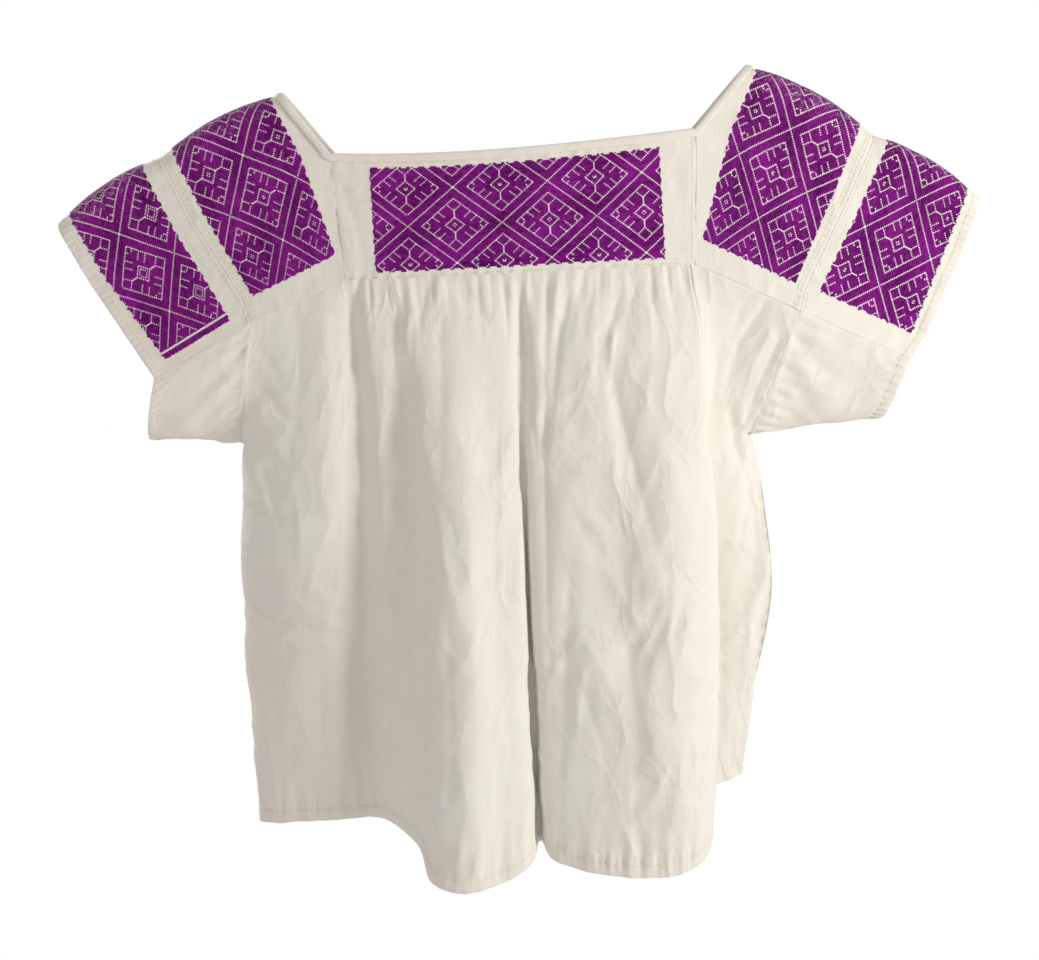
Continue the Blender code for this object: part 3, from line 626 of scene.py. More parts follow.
def normals_of(points, towards):
    """Unit normals of a bent grid, on the side that towards gives: 1, or -1 for the other."""
    across, along = np.gradient(points, axis=1), np.gradient(points, axis=0)
    return unit(np.cross(along, across) * towards)


def raised_sheet(points, towards, height, field=None):
    """A sheet whose points are raised from a smooth grid, with its own normals."""
    points = points + normals_of(points, towards) * height[..., None]
    return Sheet(points, normals_of(points, towards), field)


def even_steps(path, cell):
    """Places along a path of many samples, as shares of it, in even steps of about one cell."""
    length = from_first(path)
    count = round(length[-1] / cell)
    return np.interp(np.linspace(0, length[-1], count + 1), length, np.linspace(0, 1, len(path)))


def dip(distance, width):
    """1 on a line and gone a little more than this width from it."""
    return np.exp(-((distance / width) ** 2))


def stitched_seam(distance, band):
    """The relief beside a seam: the doubled edge, and the dip where a row of stitches holds it down."""
    return 0.3 * (1 - ease(band - 0.6, band + 0.5, distance)) - 0.4 * dip(distance - band + 1.2, 0.8)


def turned_hem(distance, start, end, line, depth, width):
    """The relief of a hem: its turned cloth ends between start and end, and its row of stitches is at
    line."""
    return 0.5 * (1 - ease(start, end, distance)) - depth * dip(distance - line, width)


def puckers(along, distance, pitch, height, reach, seed):
    """Small folds across a line of stitches, strongest on it: one at each pitch, of this height, and
    gone at their reach from it, all in millimetres."""
    uneven = 1 + 0.5 * np.sin(along / (pitch * 2.7) + seed) * np.cos(along / (pitch * 4.1))
    wave = np.sin(2 * math.pi * along / pitch + 1.3 * np.sin(along / (pitch * 1.9) + seed))
    return height * uneven * wave * dip(distance, reach)


def top_sheet(side, piece, cell):
    """A panel that goes over the shoulder, from its front seam to its back seam."""
    # A station is -1 at the front seam, 0 on the ridge and 1 at the back seam. The field's feet lie
    # where its fall, twice its square, is 1.
    lines = [SEAM_LINES[side][name] for name in TOP_LINES[piece]]
    shares = np.linspace(-1, 1, 2 * PATH_SAMPLES + 1)
    centre = sum(along_line(line, 2 * shares**2) for line in lines[1:3]) / 2
    stations = 2 * even_steps(lift_round(centre, side, shares), cell * 0.75) - 1
    foot = math.sqrt(0.5)
    feet = [int(np.argmin(abs(stations - place))) for place in (-foot, foot)]
    stations[feet] = -foot, foot
    stations[np.argmin(abs(stations))] = 0
    halfway = [along_line(line, 0.5) for line in lines]
    widths = [np.linalg.norm(halfway[i] - halfway[i + 1]) for i in range(3)]
    counts = [max(5, round(width / (cell * fine))) for width, fine in zip(widths, (0.6, 1, 0.6))]
    station, column = np.meshgrid(stations, stretches(range(4), counts), indexing="ij")
    chart = between([along_line(line, 2 * station**2) for line in lines], column)
    field = Field(*feet, counts[0], counts[0] + counts[1])
    return detailed_top(hang(lift_round(chart, side, station)), field, -SIGN[side], piece)


def detailed_top(points, field, towards, piece):
    """Seams, bands and small puckers of a shoulder or sleeve panel."""
    x, z = points[..., 0], points[..., 2]
    along, from_inner = from_first(points), from_first(points, 1)
    from_outer = from_inner[:, -1:] - from_inner
    if piece == "sleeve":
        height = stitched_seam(from_inner, band=4.5)
        height += puckers(along, from_inner - 3.5, pitch=5.2, height=0.42, reach=4.0, seed=2)
        height += turned_hem(from_outer, start=7.0, end=8.2, line=7.0, depth=0.35, width=0.8)
        height += puckers(along, from_outer - 4.0, pitch=5.6, height=0.6, reach=6.0, seed=5)
    else:
        height = stitched_seam(from_outer, band=4.5)
        height += puckers(along, from_outer - 3.5, pitch=5.4, height=0.42, reach=4.0, seed=1)
        height += stitched_seam(from_inner, band=3.0)
    height += 0.3 * crumple(x, z, size=17, seed=43)
    height += stitched_seam(along, band=2.5) + stitched_seam(along[-1:] - along, band=2.5)
    plain = 1 - in_field(points.shape[:2], field)
    height = height * (0.35 + 0.65 * plain) + 0.35 * ripple(x, z, size=30, seed=11)
    return raised_sheet(points, towards, height, field)


def in_field(shape, field):
    """1 in the embroidered field of a grid and 0 outside it."""
    rows, columns = np.indices(shape)
    inside = (rows >= field.first_row) & (rows <= field.last_row)
    inside &= (columns >= field.first_column) & (columns <= field.last_column)
    return inside.astype(float)


def neck_edge(side, down):
    """Where the yoke meets the shoulder on the flat view: down is 0 at the neck's corner and 1 at the
    seam."""
    line = SEAM_LINES[side]["neck"]
    top, foot = np.array(line.bend, float), np.array(line.seam_foot, float)
    return top + (foot - top) * np.asarray(down, float)[..., None]


def yoke_point(x, down, face):
    """Points of the yoke: down is 0 at the neck edge and 1 at the gathered seam."""
    left, right = (lift(neck_edge(side, down), side, face) for side in ("left", "right"))
    share = (x - left[..., 0]) / (right[..., 0] - left[..., 0])
    crown = 4 * share * (1 - share)
    y = left[..., 1] + (right[..., 1] - left[..., 1]) * share + face * YOKE_BOW * crown
    z = left[..., 2] + (right[..., 2] - left[..., 2]) * share - NECK_SAG * crown * (1 - down)
    return np.stack([x, y, z], -1)


def stretches(bounds, counts):
    """Places in even steps between each bound and the next, this many steps in each."""
    bounds = list(bounds)
    parts = [np.linspace(bounds[i], bounds[i + 1], count + 1)[1:] for i, count in enumerate(counts)]
    return np.concatenate([[bounds[0]], *parts])


def yoke_sheet(face, cell):
    """The front or back yoke, from its neck edge down to the gathered seam."""
    height = neck_edge("left", 0)[1] - neck_edge("left", 1)[1]
    top, foot = YOKE_FIELD_TOP / height, 1 - YOKE_FIELD_BOTTOM / height
    row_counts = (5, round((foot - top) * height / cell), 4)
    column_counts = (EDGE_COLUMNS, round(YOKE_FIELD_WIDTH / cell), EDGE_COLUMNS)
    rows, columns = stretches((0, top, foot, 1), row_counts), stretches(range(4), column_counts)
    down, column = np.meshgrid(rows, columns, indexing="ij")
    edges, fields = [], []
    for side in SIGN:
        start, end = YOKE_FIELD[side]
        edges.append(SIGN[side] * neck_edge(side, down)[..., :1])
        fields.append(SIGN[side] * (start + (end - start) * down)[..., None])
    across = between([edges[0], *fields, edges[1]], column)[..., 0]
    points = hang(yoke_point(across, down, face))
    x, z = points[..., 0], points[..., 2]
    field = Field(row_counts[0], sum(row_counts[:2]), column_counts[0], sum(column_counts[:2]))
    from_foot = (1 - down) * height
    relief = stitched_seam(x - x[:, :1], band=4.0) + stitched_seam(x[:, -1:] - x, band=4.0)
    relief += stitched_seam(from_foot, band=2.6)
    relief += puckers(x, from_foot, pitch=9.0, height=0.5, reach=5.0, seed=3)
    relief += puckers(x, down * height - 6, pitch=12.0, height=0.3, reach=4.0, seed=4)
    plain = 1 - in_field(points.shape[:2], field)
    relief += 0.3 * plain * crumple(x, z, size=16, seed=41) + crease_height(YOKE_CREASES, x, z)
    relief = relief * (0.3 + 0.7 * plain) + 0.35 * ripple(x, z, size=48, seed=12)
    return raised_sheet(points, -face, relief, field)


def top_seam(x, face):
    """Points of the body's top edge at x: below a shoulder, or below the yoke."""
    found = yoke_point(x, np.ones(x.shape), face)
    for side in SIGN:
        inner, outer = seam_foot(side, "neck"), seam_foot(side, "armhole")
        outwards = SIGN[side] * x
        share = np.clip((outwards - inner[0]) / (outer[0] - inner[0]), 0, 1)
        below_shoulder = lift(inner + (outer - inner) * share[..., None], side, face)
        found = np.where((outwards > inner[0])[..., None], below_shoulder, found)
    return found


def rounded_under(start, side, foot, share):
    """The curve from a point on the front or back of the sleeve round to its foot, where share is 1."""
    x = start[0] + (SIGN[side] * foot[0] - start[0]) * share
    z = start[2] + (foot[1] - start[2]) * share
    return np.stack([x, start[1] * np.sqrt(np.maximum(0, 1 - share**2)), z], -1)


def armhole_point(side, face, share):
    """The lower half of the armhole seam: share is 0 at the shoulder's foot and 1 at the underarm."""
    start = lift(seam_foot(side, "armhole"), side, face)
    return rounded_under(start, side, UNDERARM[side], share)


def side_seam_point(side, z):
    """The side seam at a height."""
    heights = [-row.z for row in SIDE_SEAMS]
    places = [[getattr(row, f"{side}_{axis}") for row in SIDE_SEAMS] for axis in "xy"]
    return np.stack([*(table_value(heights, column, -z) for column in places), z], -1)


def underarm_sheet(side, cell):
    """The plain lower half of the sleeve, from the front seam round under the arm to the back seam."""
    head, corner = seam_foot(side, "armhole"), seam_foot(side, "cuff")
    turns = np.linspace(-math.pi / 2, math.pi / 2, 2 * round(SLEEVE_HALF_ROUND / cell) + 1)
    across = np.linspace(0, 1, round(SLEEVE_LENGTH / cell) + 1)
    turn, outwards = np.meshgrid(turns, across, indexing="ij")
    share, out = np.cos(turn), outwards[..., None]
    halves = []
    for face in (FRONT, BACK):
        armhole = armhole_point(side, face, share)
        cuff_start = lift(corner, side, face)
        cuff = rounded_under(cuff_start, side, CUFF_FOOT[side], share)
        points = armhole + (cuff - armhole) * out
        straight = lift(head, side, face) * (1 - out) + cuff_start * out
        seam = lift(head + (corner - head) * out, side, face)
        halves.append(points + (seam - straight) * ((1 - share) ** 2)[..., None])
    points = hang(np.where((turn < 0)[..., None], halves[0], halves[1]))
    along, width = from_first(points), from_first(points, 1)
    from_cuff = width[:, -1:] - width
    height = turned_hem(from_cuff, start=8.0, end=9.2, line=8.2, depth=0.4, width=0.8)
    height += puckers(along, from_cuff - 7.0, pitch=6.5, height=0.6, reach=6.0, seed=8)
    waves = puckers(along, width, pitch=12.0, height=1.3, reach=20.0, seed=9)
    height += waves + 1.6 * ripple(along, width, size=46, seed=31)
    height += 0.5 * crumple(width, along, size=22, seed=35)
    height += crease_height(UNDERARM_CREASES, width, along)
    edge = ease(0, 5, along) * ease(0, 5, along[-1:] - along) * ease(0, 4, width)
    return raised_sheet(points, SIGN[side], height * edge)


def chest_blend(top, chest, hem, down):
    """The parabola through a fold line's places at the seam, the chest and the hem."""
    at_top = (down - CHEST_SHARE) * (down - 1) / CHEST_SHARE
    at_chest = down * (1 - down) / (CHEST_SHARE * (1 - CHEST_SHARE))
    at_hem = down * (down - CHEST_SHARE) / (1 - CHEST_SHARE)
    return top * at_top + chest * at_chest + hem * at_hem


def gathers(column, down, height):
    """The small gathers below the yoke's seam: no two are alike, and finer ones ride on the larger."""
    number = np.floor(column / 2)
    uneven = 1 + 0.45 * np.sin(2.3 * number) + 0.2 * np.sin(5.1 * number + 1)
    reach = 0.1 * (1 + 0.55 * np.sin(1.7 * number + 0.6))
    start = 0.35 + 0.65 * ease(0, 0.035, down)
    fade = np.clip(1 - down / reach, 0, 1) ** 1.3
    wide = (2.2 * abs(np.sin(math.pi * column / 2)) ** 0.8 - 1.1) * uneven
    fine = 0.4 * np.sin(2 * math.pi * column + 1.9 * np.sin(0.9 * column))
    return height * start * (wide * fade + fine * np.clip(1 - down / 0.06, 0, 1))


class Body:
    """The front or back of the body, gathered to the yoke and hanging in folds to the hem."""

    def __init__(self, folds, face):
        self.folds = folds
        self.face = face
        self.stops = np.concatenate([[0], np.cumsum([fold.columns for fold in folds[:-1]])])
        self.columns = self.stops[-1]
        gathered = [i for i, fold in enumerate(folds) if fold.gathered]
        self.first_gather, self.last_gather = self.stops[gathered[0]], self.stops[gathered[-1] + 1]

    def column_value(self, name, column):
        """A value of the fold table between its lines."""
        return table_value(self.stops, [getattr(fold, name) for fold in self.folds], column)

    def underarm_share(self, column):
        """How far down the underarm is on the way from the top seam to the hem."""
        ends = []
        for side, fold in (("left", self.folds[0]), ("right", self.folds[-1])):
            head = SEAM_LINES[side]["armhole"].seam_foot[1]
            ends.append((head - UNDERARM[side][1]) / (head - fold.hem_z))
        return ends[0] + (ends[1] - ends[0]) * column / self.columns

    def hanging_point(self, column, down):
        """The sheet as the fold table gives it, before its side edges are drawn to their seams."""

        def value(name):
            return self.column_value(name, column)

        top = top_seam(value("top_x"), self.face)
        x = chest_blend(top[..., 0], value("chest_x"), value("hem_x"), down)
        y = chest_blend(top[..., 1], value("chest_y"), value("hem_y"), down)
        z = top[..., 2] + (value("hem_z") - top[..., 2]) * down
        return np.stack([x, y, z], -1)

    def edge_shift(self, side, down):
        """From the sheet's own edge to the armhole seam or, below the underarm, to the side seam."""
        column = np.full(down.shape, 0.0 if side == "left" else float(self.columns))
        under = self.underarm_share(column)
        own = self.hanging_point(column, down)
        armhole = armhole_point(side, self.face, np.minimum(down / under, 1))
        seam = side_seam_point(side, own[..., 2])
        return np.where((down <= under)[..., None], armhole, seam) - own

    def place(self, column, down):
        """Points of the sheet with its side edges on their seams, and the back round past the right
        one."""
        point = self.hanging_point(column, down)
        for side, inwards in (("left", column), ("right", self.columns - column)):
            near = np.clip(1 - inwards / SIDE_REACH, 0, 1) ** 2
            point += self.edge_shift(side, down) * near[..., None]
        if self.face == BACK:
            inwards, under = self.columns - column, self.underarm_share(column)
            along = np.sin(math.pi * np.clip((down - under) / (1 - under), 0, 1))
            strip = np.sin(math.pi * np.clip(inwards / SIDE_REACH, 0, 1))
            point[..., 0] += BACK_STRIP * along * strip
        return point

    def grid(self, cell):
        """Columns and downs of a fine grid, with even cells and a row through the underarm."""
        dense = np.linspace(0, self.columns, BODY_SAMPLES)
        path = self.place(dense, np.full(dense.shape, GRID_LEVEL))
        columns = even_steps(path, cell * 0.8) * self.columns
        rows = stretches(range(3), (round(ARMHOLE_DEPTH / cell), round(SIDE_LENGTH / cell)))
        row, column = np.meshgrid(rows, columns, indexing="ij")
        under = self.underarm_share(column)
        down = np.where(row <= 1, under * row, under + (1 - under) * (row - 1))
        return column, down

    def sheet(self, creases, cell, gather_height, hem):
        """The whole sheet, with its gathers, creases, crumple, hem and the puckers along its seams."""
        column, down = self.grid(cell)
        points = hang(self.place(column, down))
        x, z, face = points[..., 0], points[..., 2], self.face
        inside = column - self.first_gather
        among = ease(0, 1.5, inside) * ease(0, 1.5, self.last_gather - column)
        across = from_first(points, 1)
        across_back = across[:, -1:] - across
        from_top, from_hem = down * BODY_LENGTH, (1 - down) * BODY_LENGTH
        loose, firm = ease(0.02, 0.2, down), ease(-2, hem, from_hem)
        height = gathers(inside, down, gather_height) * among
        height += crease_height(creases, x, z) * (ease(0, 14, across) * ease(0, 14, across_back))
        waves = 1.3 * ripple(x, z, size=78, seed=21 + face, upright=1.9)
        waves += 0.5 * ripple(x, z, size=26, seed=27 + face, upright=2.4)
        ridges = 0.75 * crumple(x, z, size=24, seed=33, upright=1.6)
        ridges += crumple(x, z, size=52, seed=34, upright=2.0)
        height += loose * waves
        height += loose * ridges
        height += firm * puckers(across, from_hem - hem, pitch=6.4, height=0.55, reach=8.0, seed=6)
        height += firm * puckers(across, from_hem - hem, pitch=15.0, height=0.7, reach=26.0, seed=2)
        height += turned_hem(from_hem, start=hem - 0.6, end=hem + 0.9, line=hem, depth=0.55, width=1.3)
        sides = puckers(from_top, across, pitch=13.0, height=0.7, reach=9.0, seed=4)
        height += sides + puckers(from_top, across_back, pitch=14.0, height=0.7, reach=9.0, seed=5)
        edge = ease(0, 4, across) * ease(0, 4, across_back)
        return raised_sheet(points, -face, height * edge - 0.2 * (1 - ease(0, 0.006, down)))


def at_places(sheet, row, column, height):
    """Points of a sheet between its rows and columns, raised from it by a height."""
    rows, columns = sheet.points.shape[:2]
    low_row = np.clip(np.floor(row).astype(int), 0, rows - 2)
    low_column = np.clip(np.floor(column).astype(int), 0, columns - 2)
    down, along = (row - low_row)[..., None], (column - low_column)[..., None]

    def blend(grid):
        upper = grid[low_row, low_column] * (1 - along) + grid[low_row, low_column + 1] * along
        lower = grid[low_row + 1, low_column] * (1 - along) + grid[low_row + 1, low_column + 1] * along
        return upper * (1 - down) + lower * down

    return blend(sheet.points) + blend(sheet.normals) * height


def lattice_lines(along, across, period, gap, ringed):
    """Whether points of a field lie on a white line of the diamond lattice. Sizes are millimetres."""
    half_long, half_wide = period[0] / 2, period[1] / 2
    first = (along / half_long + across / half_wide + 1) % 2 - 1
    second = (along / half_long - across / half_wide + 1) % 2 - 1
    lengthwise, crosswise = abs(first + second) / 2, abs(first - second) / 2
    outer, inner = lengthwise + crosswise, lengthwise - crosswise
    half_gap = gap / 2 * math.hypot(1 / half_long, 1 / half_wide)
    thin = half_gap * 0.8
    white = np.maximum(abs(first), abs(second)) > 1 - half_gap
    diamonds = ((INNER_DIAMOND, half_gap), (HEART_DIAMOND, half_gap), (HEART_DOT * ringed, thin))
    for diamond, reach in diamonds:
        white |= abs(outer - diamond) < reach
    stem = (crosswise > HEART_DIAMOND) & (crosswise < STEM_END)
    white |= stem & (lengthwise * half_long < gap * 0.55)
    within = outer < INNER_DIAMOND
    for place in LONG_TICKS:
        white |= (abs(inner - place) < thin) & (outer > TICK_FOOT) & within
    white |= (abs(inner - SHORT_TICK) < half_gap) & (outer > SHORT_TICK_FOOT) & within
    return white


def stitch_runs(length, width, crossing, settings, ringed, bar):
    """Every stitch of a field as (start, end, across) in millimetres: rows of floats between the white
    lines."""
    rng = np.random.default_rng(settings.seed + round(length))
    pitch, longest, gap = settings.row_pitch / MM, settings.longest / MM, settings.gap / MM
    period = (settings.cell_length / MM, settings.cell_width / MM)
    along = np.arange(0, length + ROW_STEP, ROW_STEP)
    from_crossing = along - crossing[0] - period[0] / 2
    scallop = SCALLOP_DEPTH * (1 - abs(np.sin(math.pi * along / SCALLOP_LENGTH))) ** 0.9
    found = []
    for across in np.arange(pitch / 2, width, pitch):
        level = np.full(along.shape, across - crossing[1])
        white = lattice_lines(from_crossing, level, period, gap, ringed)
        if bar:
            white = np.where(along < bar, abs(along - bar + BAR_LINE_BACK) < BAR_LINE_HALF_WIDTH, white)
        white |= scallop > min(across, width - across)

        # The short edges are waved too, unless they have the bar, and no two rows end quite alike
        trim = 0.9 * abs(math.sin(across * 0.37)) * (not bar) + rng.uniform(0, 0.5)
        white |= (along < trim) | (along > length - trim)
        change = np.flatnonzero(np.diff(np.concatenate([[True], white, [True]]).astype(int)))
        for start, end in zip(change[::2], change[1::2]):
            low, high = along[start], along[min(end, len(along) - 1)]
            if high - low < SHORTEST_FLOAT:
                continue
            pieces = max(1, math.ceil((high - low) / longest))
            cuts = np.linspace(low, high, pieces + 1)
            cuts[1:-1] += rng.uniform(-FLOAT_UNEVENNESS, FLOAT_UNEVENNESS, pieces - 1)
            starts, ends = cuts[:-1] - FLOAT_OVERLAP, cuts[1:] + FLOAT_OVERLAP
            starts[0], ends[-1] = low, high
            found += [(a, b, across) for a, b in zip(starts, ends)]
    return np.array(found)


def solid_stitches(sheet, rows, columns, half_width, height):
    """Small closed low stitches on a sheet, from arrays of first and last places, each (row, column) in
    grid steps: a tip at each end and two arched sections between."""
    first, last = (at_places(sheet, rows[i], columns[i], -STITCH_SINK) for i in (0, 1))
    limits = np.array(sheet.points.shape[:2]) - 1
    middles = [np.round((pair[0] + pair[1]) / 2).astype(int) for pair in (rows, columns)]
    row, column = (np.clip(middle, 0, limit) for middle, limit in zip(middles, limits))
    outwards = sheet.normals[row, column]
    run = last - first
    sideways = unit(np.cross(outwards, run)) * half_width
    points = [first]
    for share in (0.1, 0.9):
        middle = first + run * share
        points += [middle - sideways, middle + outwards * height, middle + sideways]
    points = np.stack([*points, last], 1)
    faces = np.arange(len(points))[:, None, None] * STITCH_POINTS + np.array(STITCH_FACES)
    return points.reshape(-1, 3), faces.reshape(-1, 3)


def fresh_object(name, vertices, faces, look, body="root"):
    """A piece from millimetre points. A piece of the object rides on its body; one of the stage has
    none."""
    mesh = bpy.data.meshes.new(name)
    mesh.from_pydata((np.asarray(vertices) * MM).tolist(), [], np.asarray(faces).tolist())
    mesh.validate()
    mesh.materials.append(look)
    obj = bpy.data.objects.new(name, mesh)
    bpy.context.scene.collection.objects.link(obj)
    if body:
        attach(obj, body)
    return obj


def sheet_object(name, sheet, look, wall):
    """The thin closed shell of a sheet, with its own UV map in metres along the cloth."""
    points = sheet.points
    rows, columns = points.shape[:2]
    index = np.arange(rows * columns).reshape(rows, columns)
    corners = (index[:-1, :-1], index[:-1, 1:], index[1:, 1:], index[1:, :-1])
    quads = np.stack(corners, -1).reshape(-1, 4)
    middle = (rows // 2, columns // 2)
    facing = np.cross(*[np.gradient(points, axis=axis)[middle] for axis in (1, 0)])
    if facing @ sheet.normals[middle] < 0:
        quads = quads[:, ::-1]
    obj = fresh_object(name, points.reshape(-1, 3), quads, look)
    across, along = from_first(points[rows // 2]), from_first(points[:, columns // 2])
    places = np.stack(np.broadcast_arrays(across[None, :], along[:, None]), -1).reshape(-1, 2) * MM
    uv = obj.data.uv_layers.new(name="cloth")
    loops = np.empty(len(obj.data.loops), np.int32)
    obj.data.loops.foreach_get("vertex_index", loops)
    uv.data.foreach_set("uv", places[loops].ravel())
    obj.data.shade_smooth()
    solidify = obj.modifiers.new("wall", "SOLIDIFY")
    solidify.thickness = wall
    solidify.offset = -1
    obj.modifiers.new("edge_shading", "WEIGHTED_NORMAL")
    return obj


def flat_size(sheet):
    """Width and length of a sheet when laid flat, in metres, from its longest row and column, and its
    area."""
    points = sheet.points
    width = np.linalg.norm(np.diff(points, axis=1), axis=-1).sum(1)
    length = np.linalg.norm(np.diff(points, axis=0), axis=-1).sum(0)
    one = np.cross(points[:-1, 1:] - points[:-1, :-1], points[1:, :-1] - points[:-1, :-1])
    other = np.cross(points[1:, 1:] - points[:-1, 1:], points[1:, 1:] - points[1:, :-1])
    area = (np.linalg.norm(one, axis=-1).sum() + np.linalg.norm(other, axis=-1).sum()) / 2
    return width.max() * MM, length.max() * MM, area * MM**2


def add_node(tree, kind, settings=(), links=()):
    """Adds a node with its settings, by property or socket name, and links from sockets into its
    inputs."""
    node = tree.nodes.new(kind)
    for name, value in dict(settings).items():
        if name in node.inputs:
            node.inputs[name].default_value = value
        else:
            setattr(node, name, value)
    for name, socket in dict(links).items():
        tree.links.new(socket, node.inputs[name])
    return node


def new_material(name, roughness, specular, sheen=0.0):
    """A material, its node tree and its shader, with these constants set on the shader."""
    look = bpy.data.materials.new(name)
    look.use_nodes = True
    shader = look.node_tree.nodes["Principled BSDF"]
    shader.inputs["Roughness"].default_value = roughness
    shader.inputs["Specular IOR Level"].default_value = specular
    shader.inputs["Sheen Weight"].default_value = sheen
    return look, look.node_tree, shader


def add_mix(tree, factor, first, second):
    """A mix of two colours, each a constant or a socket."""
    mix = add_node(tree, "ShaderNodeMix", {"data_type": "RGBA"}, {"Factor": factor})
    for name, colour in (("A", first), ("B", second)):
        if isinstance(colour, bpy.types.NodeSocket):
            tree.links.new(colour, mix.inputs[name])
        else:
            mix.inputs[name].default_value = (*colour, 1)
    return mix.outputs["Result"]


def add_noise(tree, place, **settings):
    """The value of a noise at a place."""
    return add_node(tree, "ShaderNodeTexNoise", settings, {"Vector": place}).outputs["Fac"]


def add_mapping(tree, place, **settings):
    """A place drawn out or turned."""
    return add_node(tree, "ShaderNodeMapping", settings, {"Vector": place}).outputs[0]


def add_math(tree, operation, first, second):
    """Two values added or multiplied."""
    return add_node(tree, "ShaderNodeMath", {"operation": operation}, {0: first, 1: second}).outputs[0]


def add_range(tree, value, low, high, to_low=0.0, to_high=1.0):
    """A value brought from one range to another."""
    ends = {"From Min": low, "From Max": high, "To Min": to_low, "To Max": to_high}
    return add_node(tree, "ShaderNodeMapRange", ends, {"Value": value}).outputs[0]


def add_bump(tree, height, strength, distance, links=()):
    """The bent normal of a relief, its distance in metres."""
    settings = {"Strength": strength, "Distance": distance}
    return add_node(tree, "ShaderNodeBump", settings, {"Height": height, **dict(links)}).outputs[0]


def make_cotton(name, cloth):
    """Unbleached plain-woven cotton muslin: thin, matt and a little uneven, with slubs along its
    threads."""
    look, tree, shader = new_material(name, 0.92, 0.25, 0.25)
    place = add_node(tree, "ShaderNodeUVMap", {"uv_map": "cloth"}).outputs["UV"]
    pitch = cloth.thread_pitch

    # Slubs are short thick lengths of thread, along the weft and the warp: they take a slightly browner
    # shade
    slubs = []
    for stretch in ((0.35, 9.0), (9.0, 0.35)):
        drawn = add_mapping(tree, place, Scale=(stretch[0] / (pitch * 9), stretch[1] / (pitch * 9), 1))
        slubs.append(add_noise(tree, drawn, Scale=1.0, Detail=3.0, Roughness=0.6))
    threads = add_math(tree, "ADD", *slubs)
    shade = add_range(tree, threads, 0.75, 1.3, 0.0, 0.55)

    # The cloth went a little yellow and pink with washing, in patches as wide as a hand
    ground = add_node(tree, "ShaderNodeTexCoord").outputs["Object"]
    tinted = add_range(tree, add_noise(tree, ground, Scale=6.5, Detail=2.0), 0.35, 0.7)
    patches = [[c * f for c, f in zip(cloth.colour, shares)] for shares in (COOL_PATCHES, WARM_PATCHES)]
    base = add_mix(tree, tinted, *patches)
    tree.links.new(add_mix(tree, shade, base, cloth.shade), shader.inputs["Base Color"])

    # The weave: two crossed waves of threads, which give the eye a faint grain close by
    weave = []
    for turn in (0, math.pi / 2):
        turned = add_mapping(tree, place, Rotation=(0, 0, turn), Scale=(1 / pitch, 1 / pitch, 1))
        wave = {"Scale": 0.32, "Distortion": 1.2, "Detail": 1.0, "Detail Scale": 0.6}
        weave.append(add_node(tree, "ShaderNodeTexWave", wave, {"Vector": turned}).outputs["Fac"])
    relief = add_math(tree, "ADD", add_math(tree, "MULTIPLY", *weave), threads)

    # Hairline wrinkles from washing, stronger in some patches than in others
    drawn = add_mapping(tree, place, Scale=(1.0, 0.6, 1.0))
    ridges = {"noise_type": "RIDGED_MULTIFRACTAL", "Scale": 36.0, "Detail": 3.0, "Roughness": 0.5}
    wrinkle = add_noise(tree, drawn, **ridges, Offset=1.0, Gain=1.2, Distortion=0.5)
    where = add_range(tree, add_noise(tree, place, Scale=8.0, Detail=1.0), 0.34, 0.58, 0.4)
    creased = add_bump(tree, add_math(tree, "MULTIPLY", wrinkle, where), 0.5, 0.0015)
    bump = add_bump(tree, relief, 0.5, 0.0003, {"Normal": creased})
    tree.links.new(bump, shader.inputs["Normal"])
    return look


def make_thread(name, colour, dark, sheen):
    """Six-strand cotton embroidery thread, twisted: a soft shine, and lengths that took the dye
    unevenly."""
    look, tree, shader = new_material(name, 0.6, 0.12, sheen)
    tone = add_node(tree, "ShaderNodeAttribute", {"attribute_name": "tone"}).outputs["Fac"]
    tree.links.new(add_mix(tree, tone, dark, colour), shader.inputs["Base Color"])
    ground = add_node(tree, "ShaderNodeTexCoord").outputs["Object"]
    twist = add_noise(tree, ground, Scale=1400.0, Detail=2.0)
    tree.links.new(add_bump(tree, twist, 0.35, 0.0002), shader.inputs["Normal"])
    return look


def shared_material(name, maker, *values):
    """A material that is made once, and found by its name afterwards."""
    return bpy.data.materials.get(name) or maker(name, *values)


def muslin(cloth):
    return shared_material("unbleached_cotton_muslin", make_cotton, cloth)


def sewing_thread(cloth):
    return shared_material("cotton_sewing_thread", make_thread, cloth.sewing, cloth.sewing, 0.1)


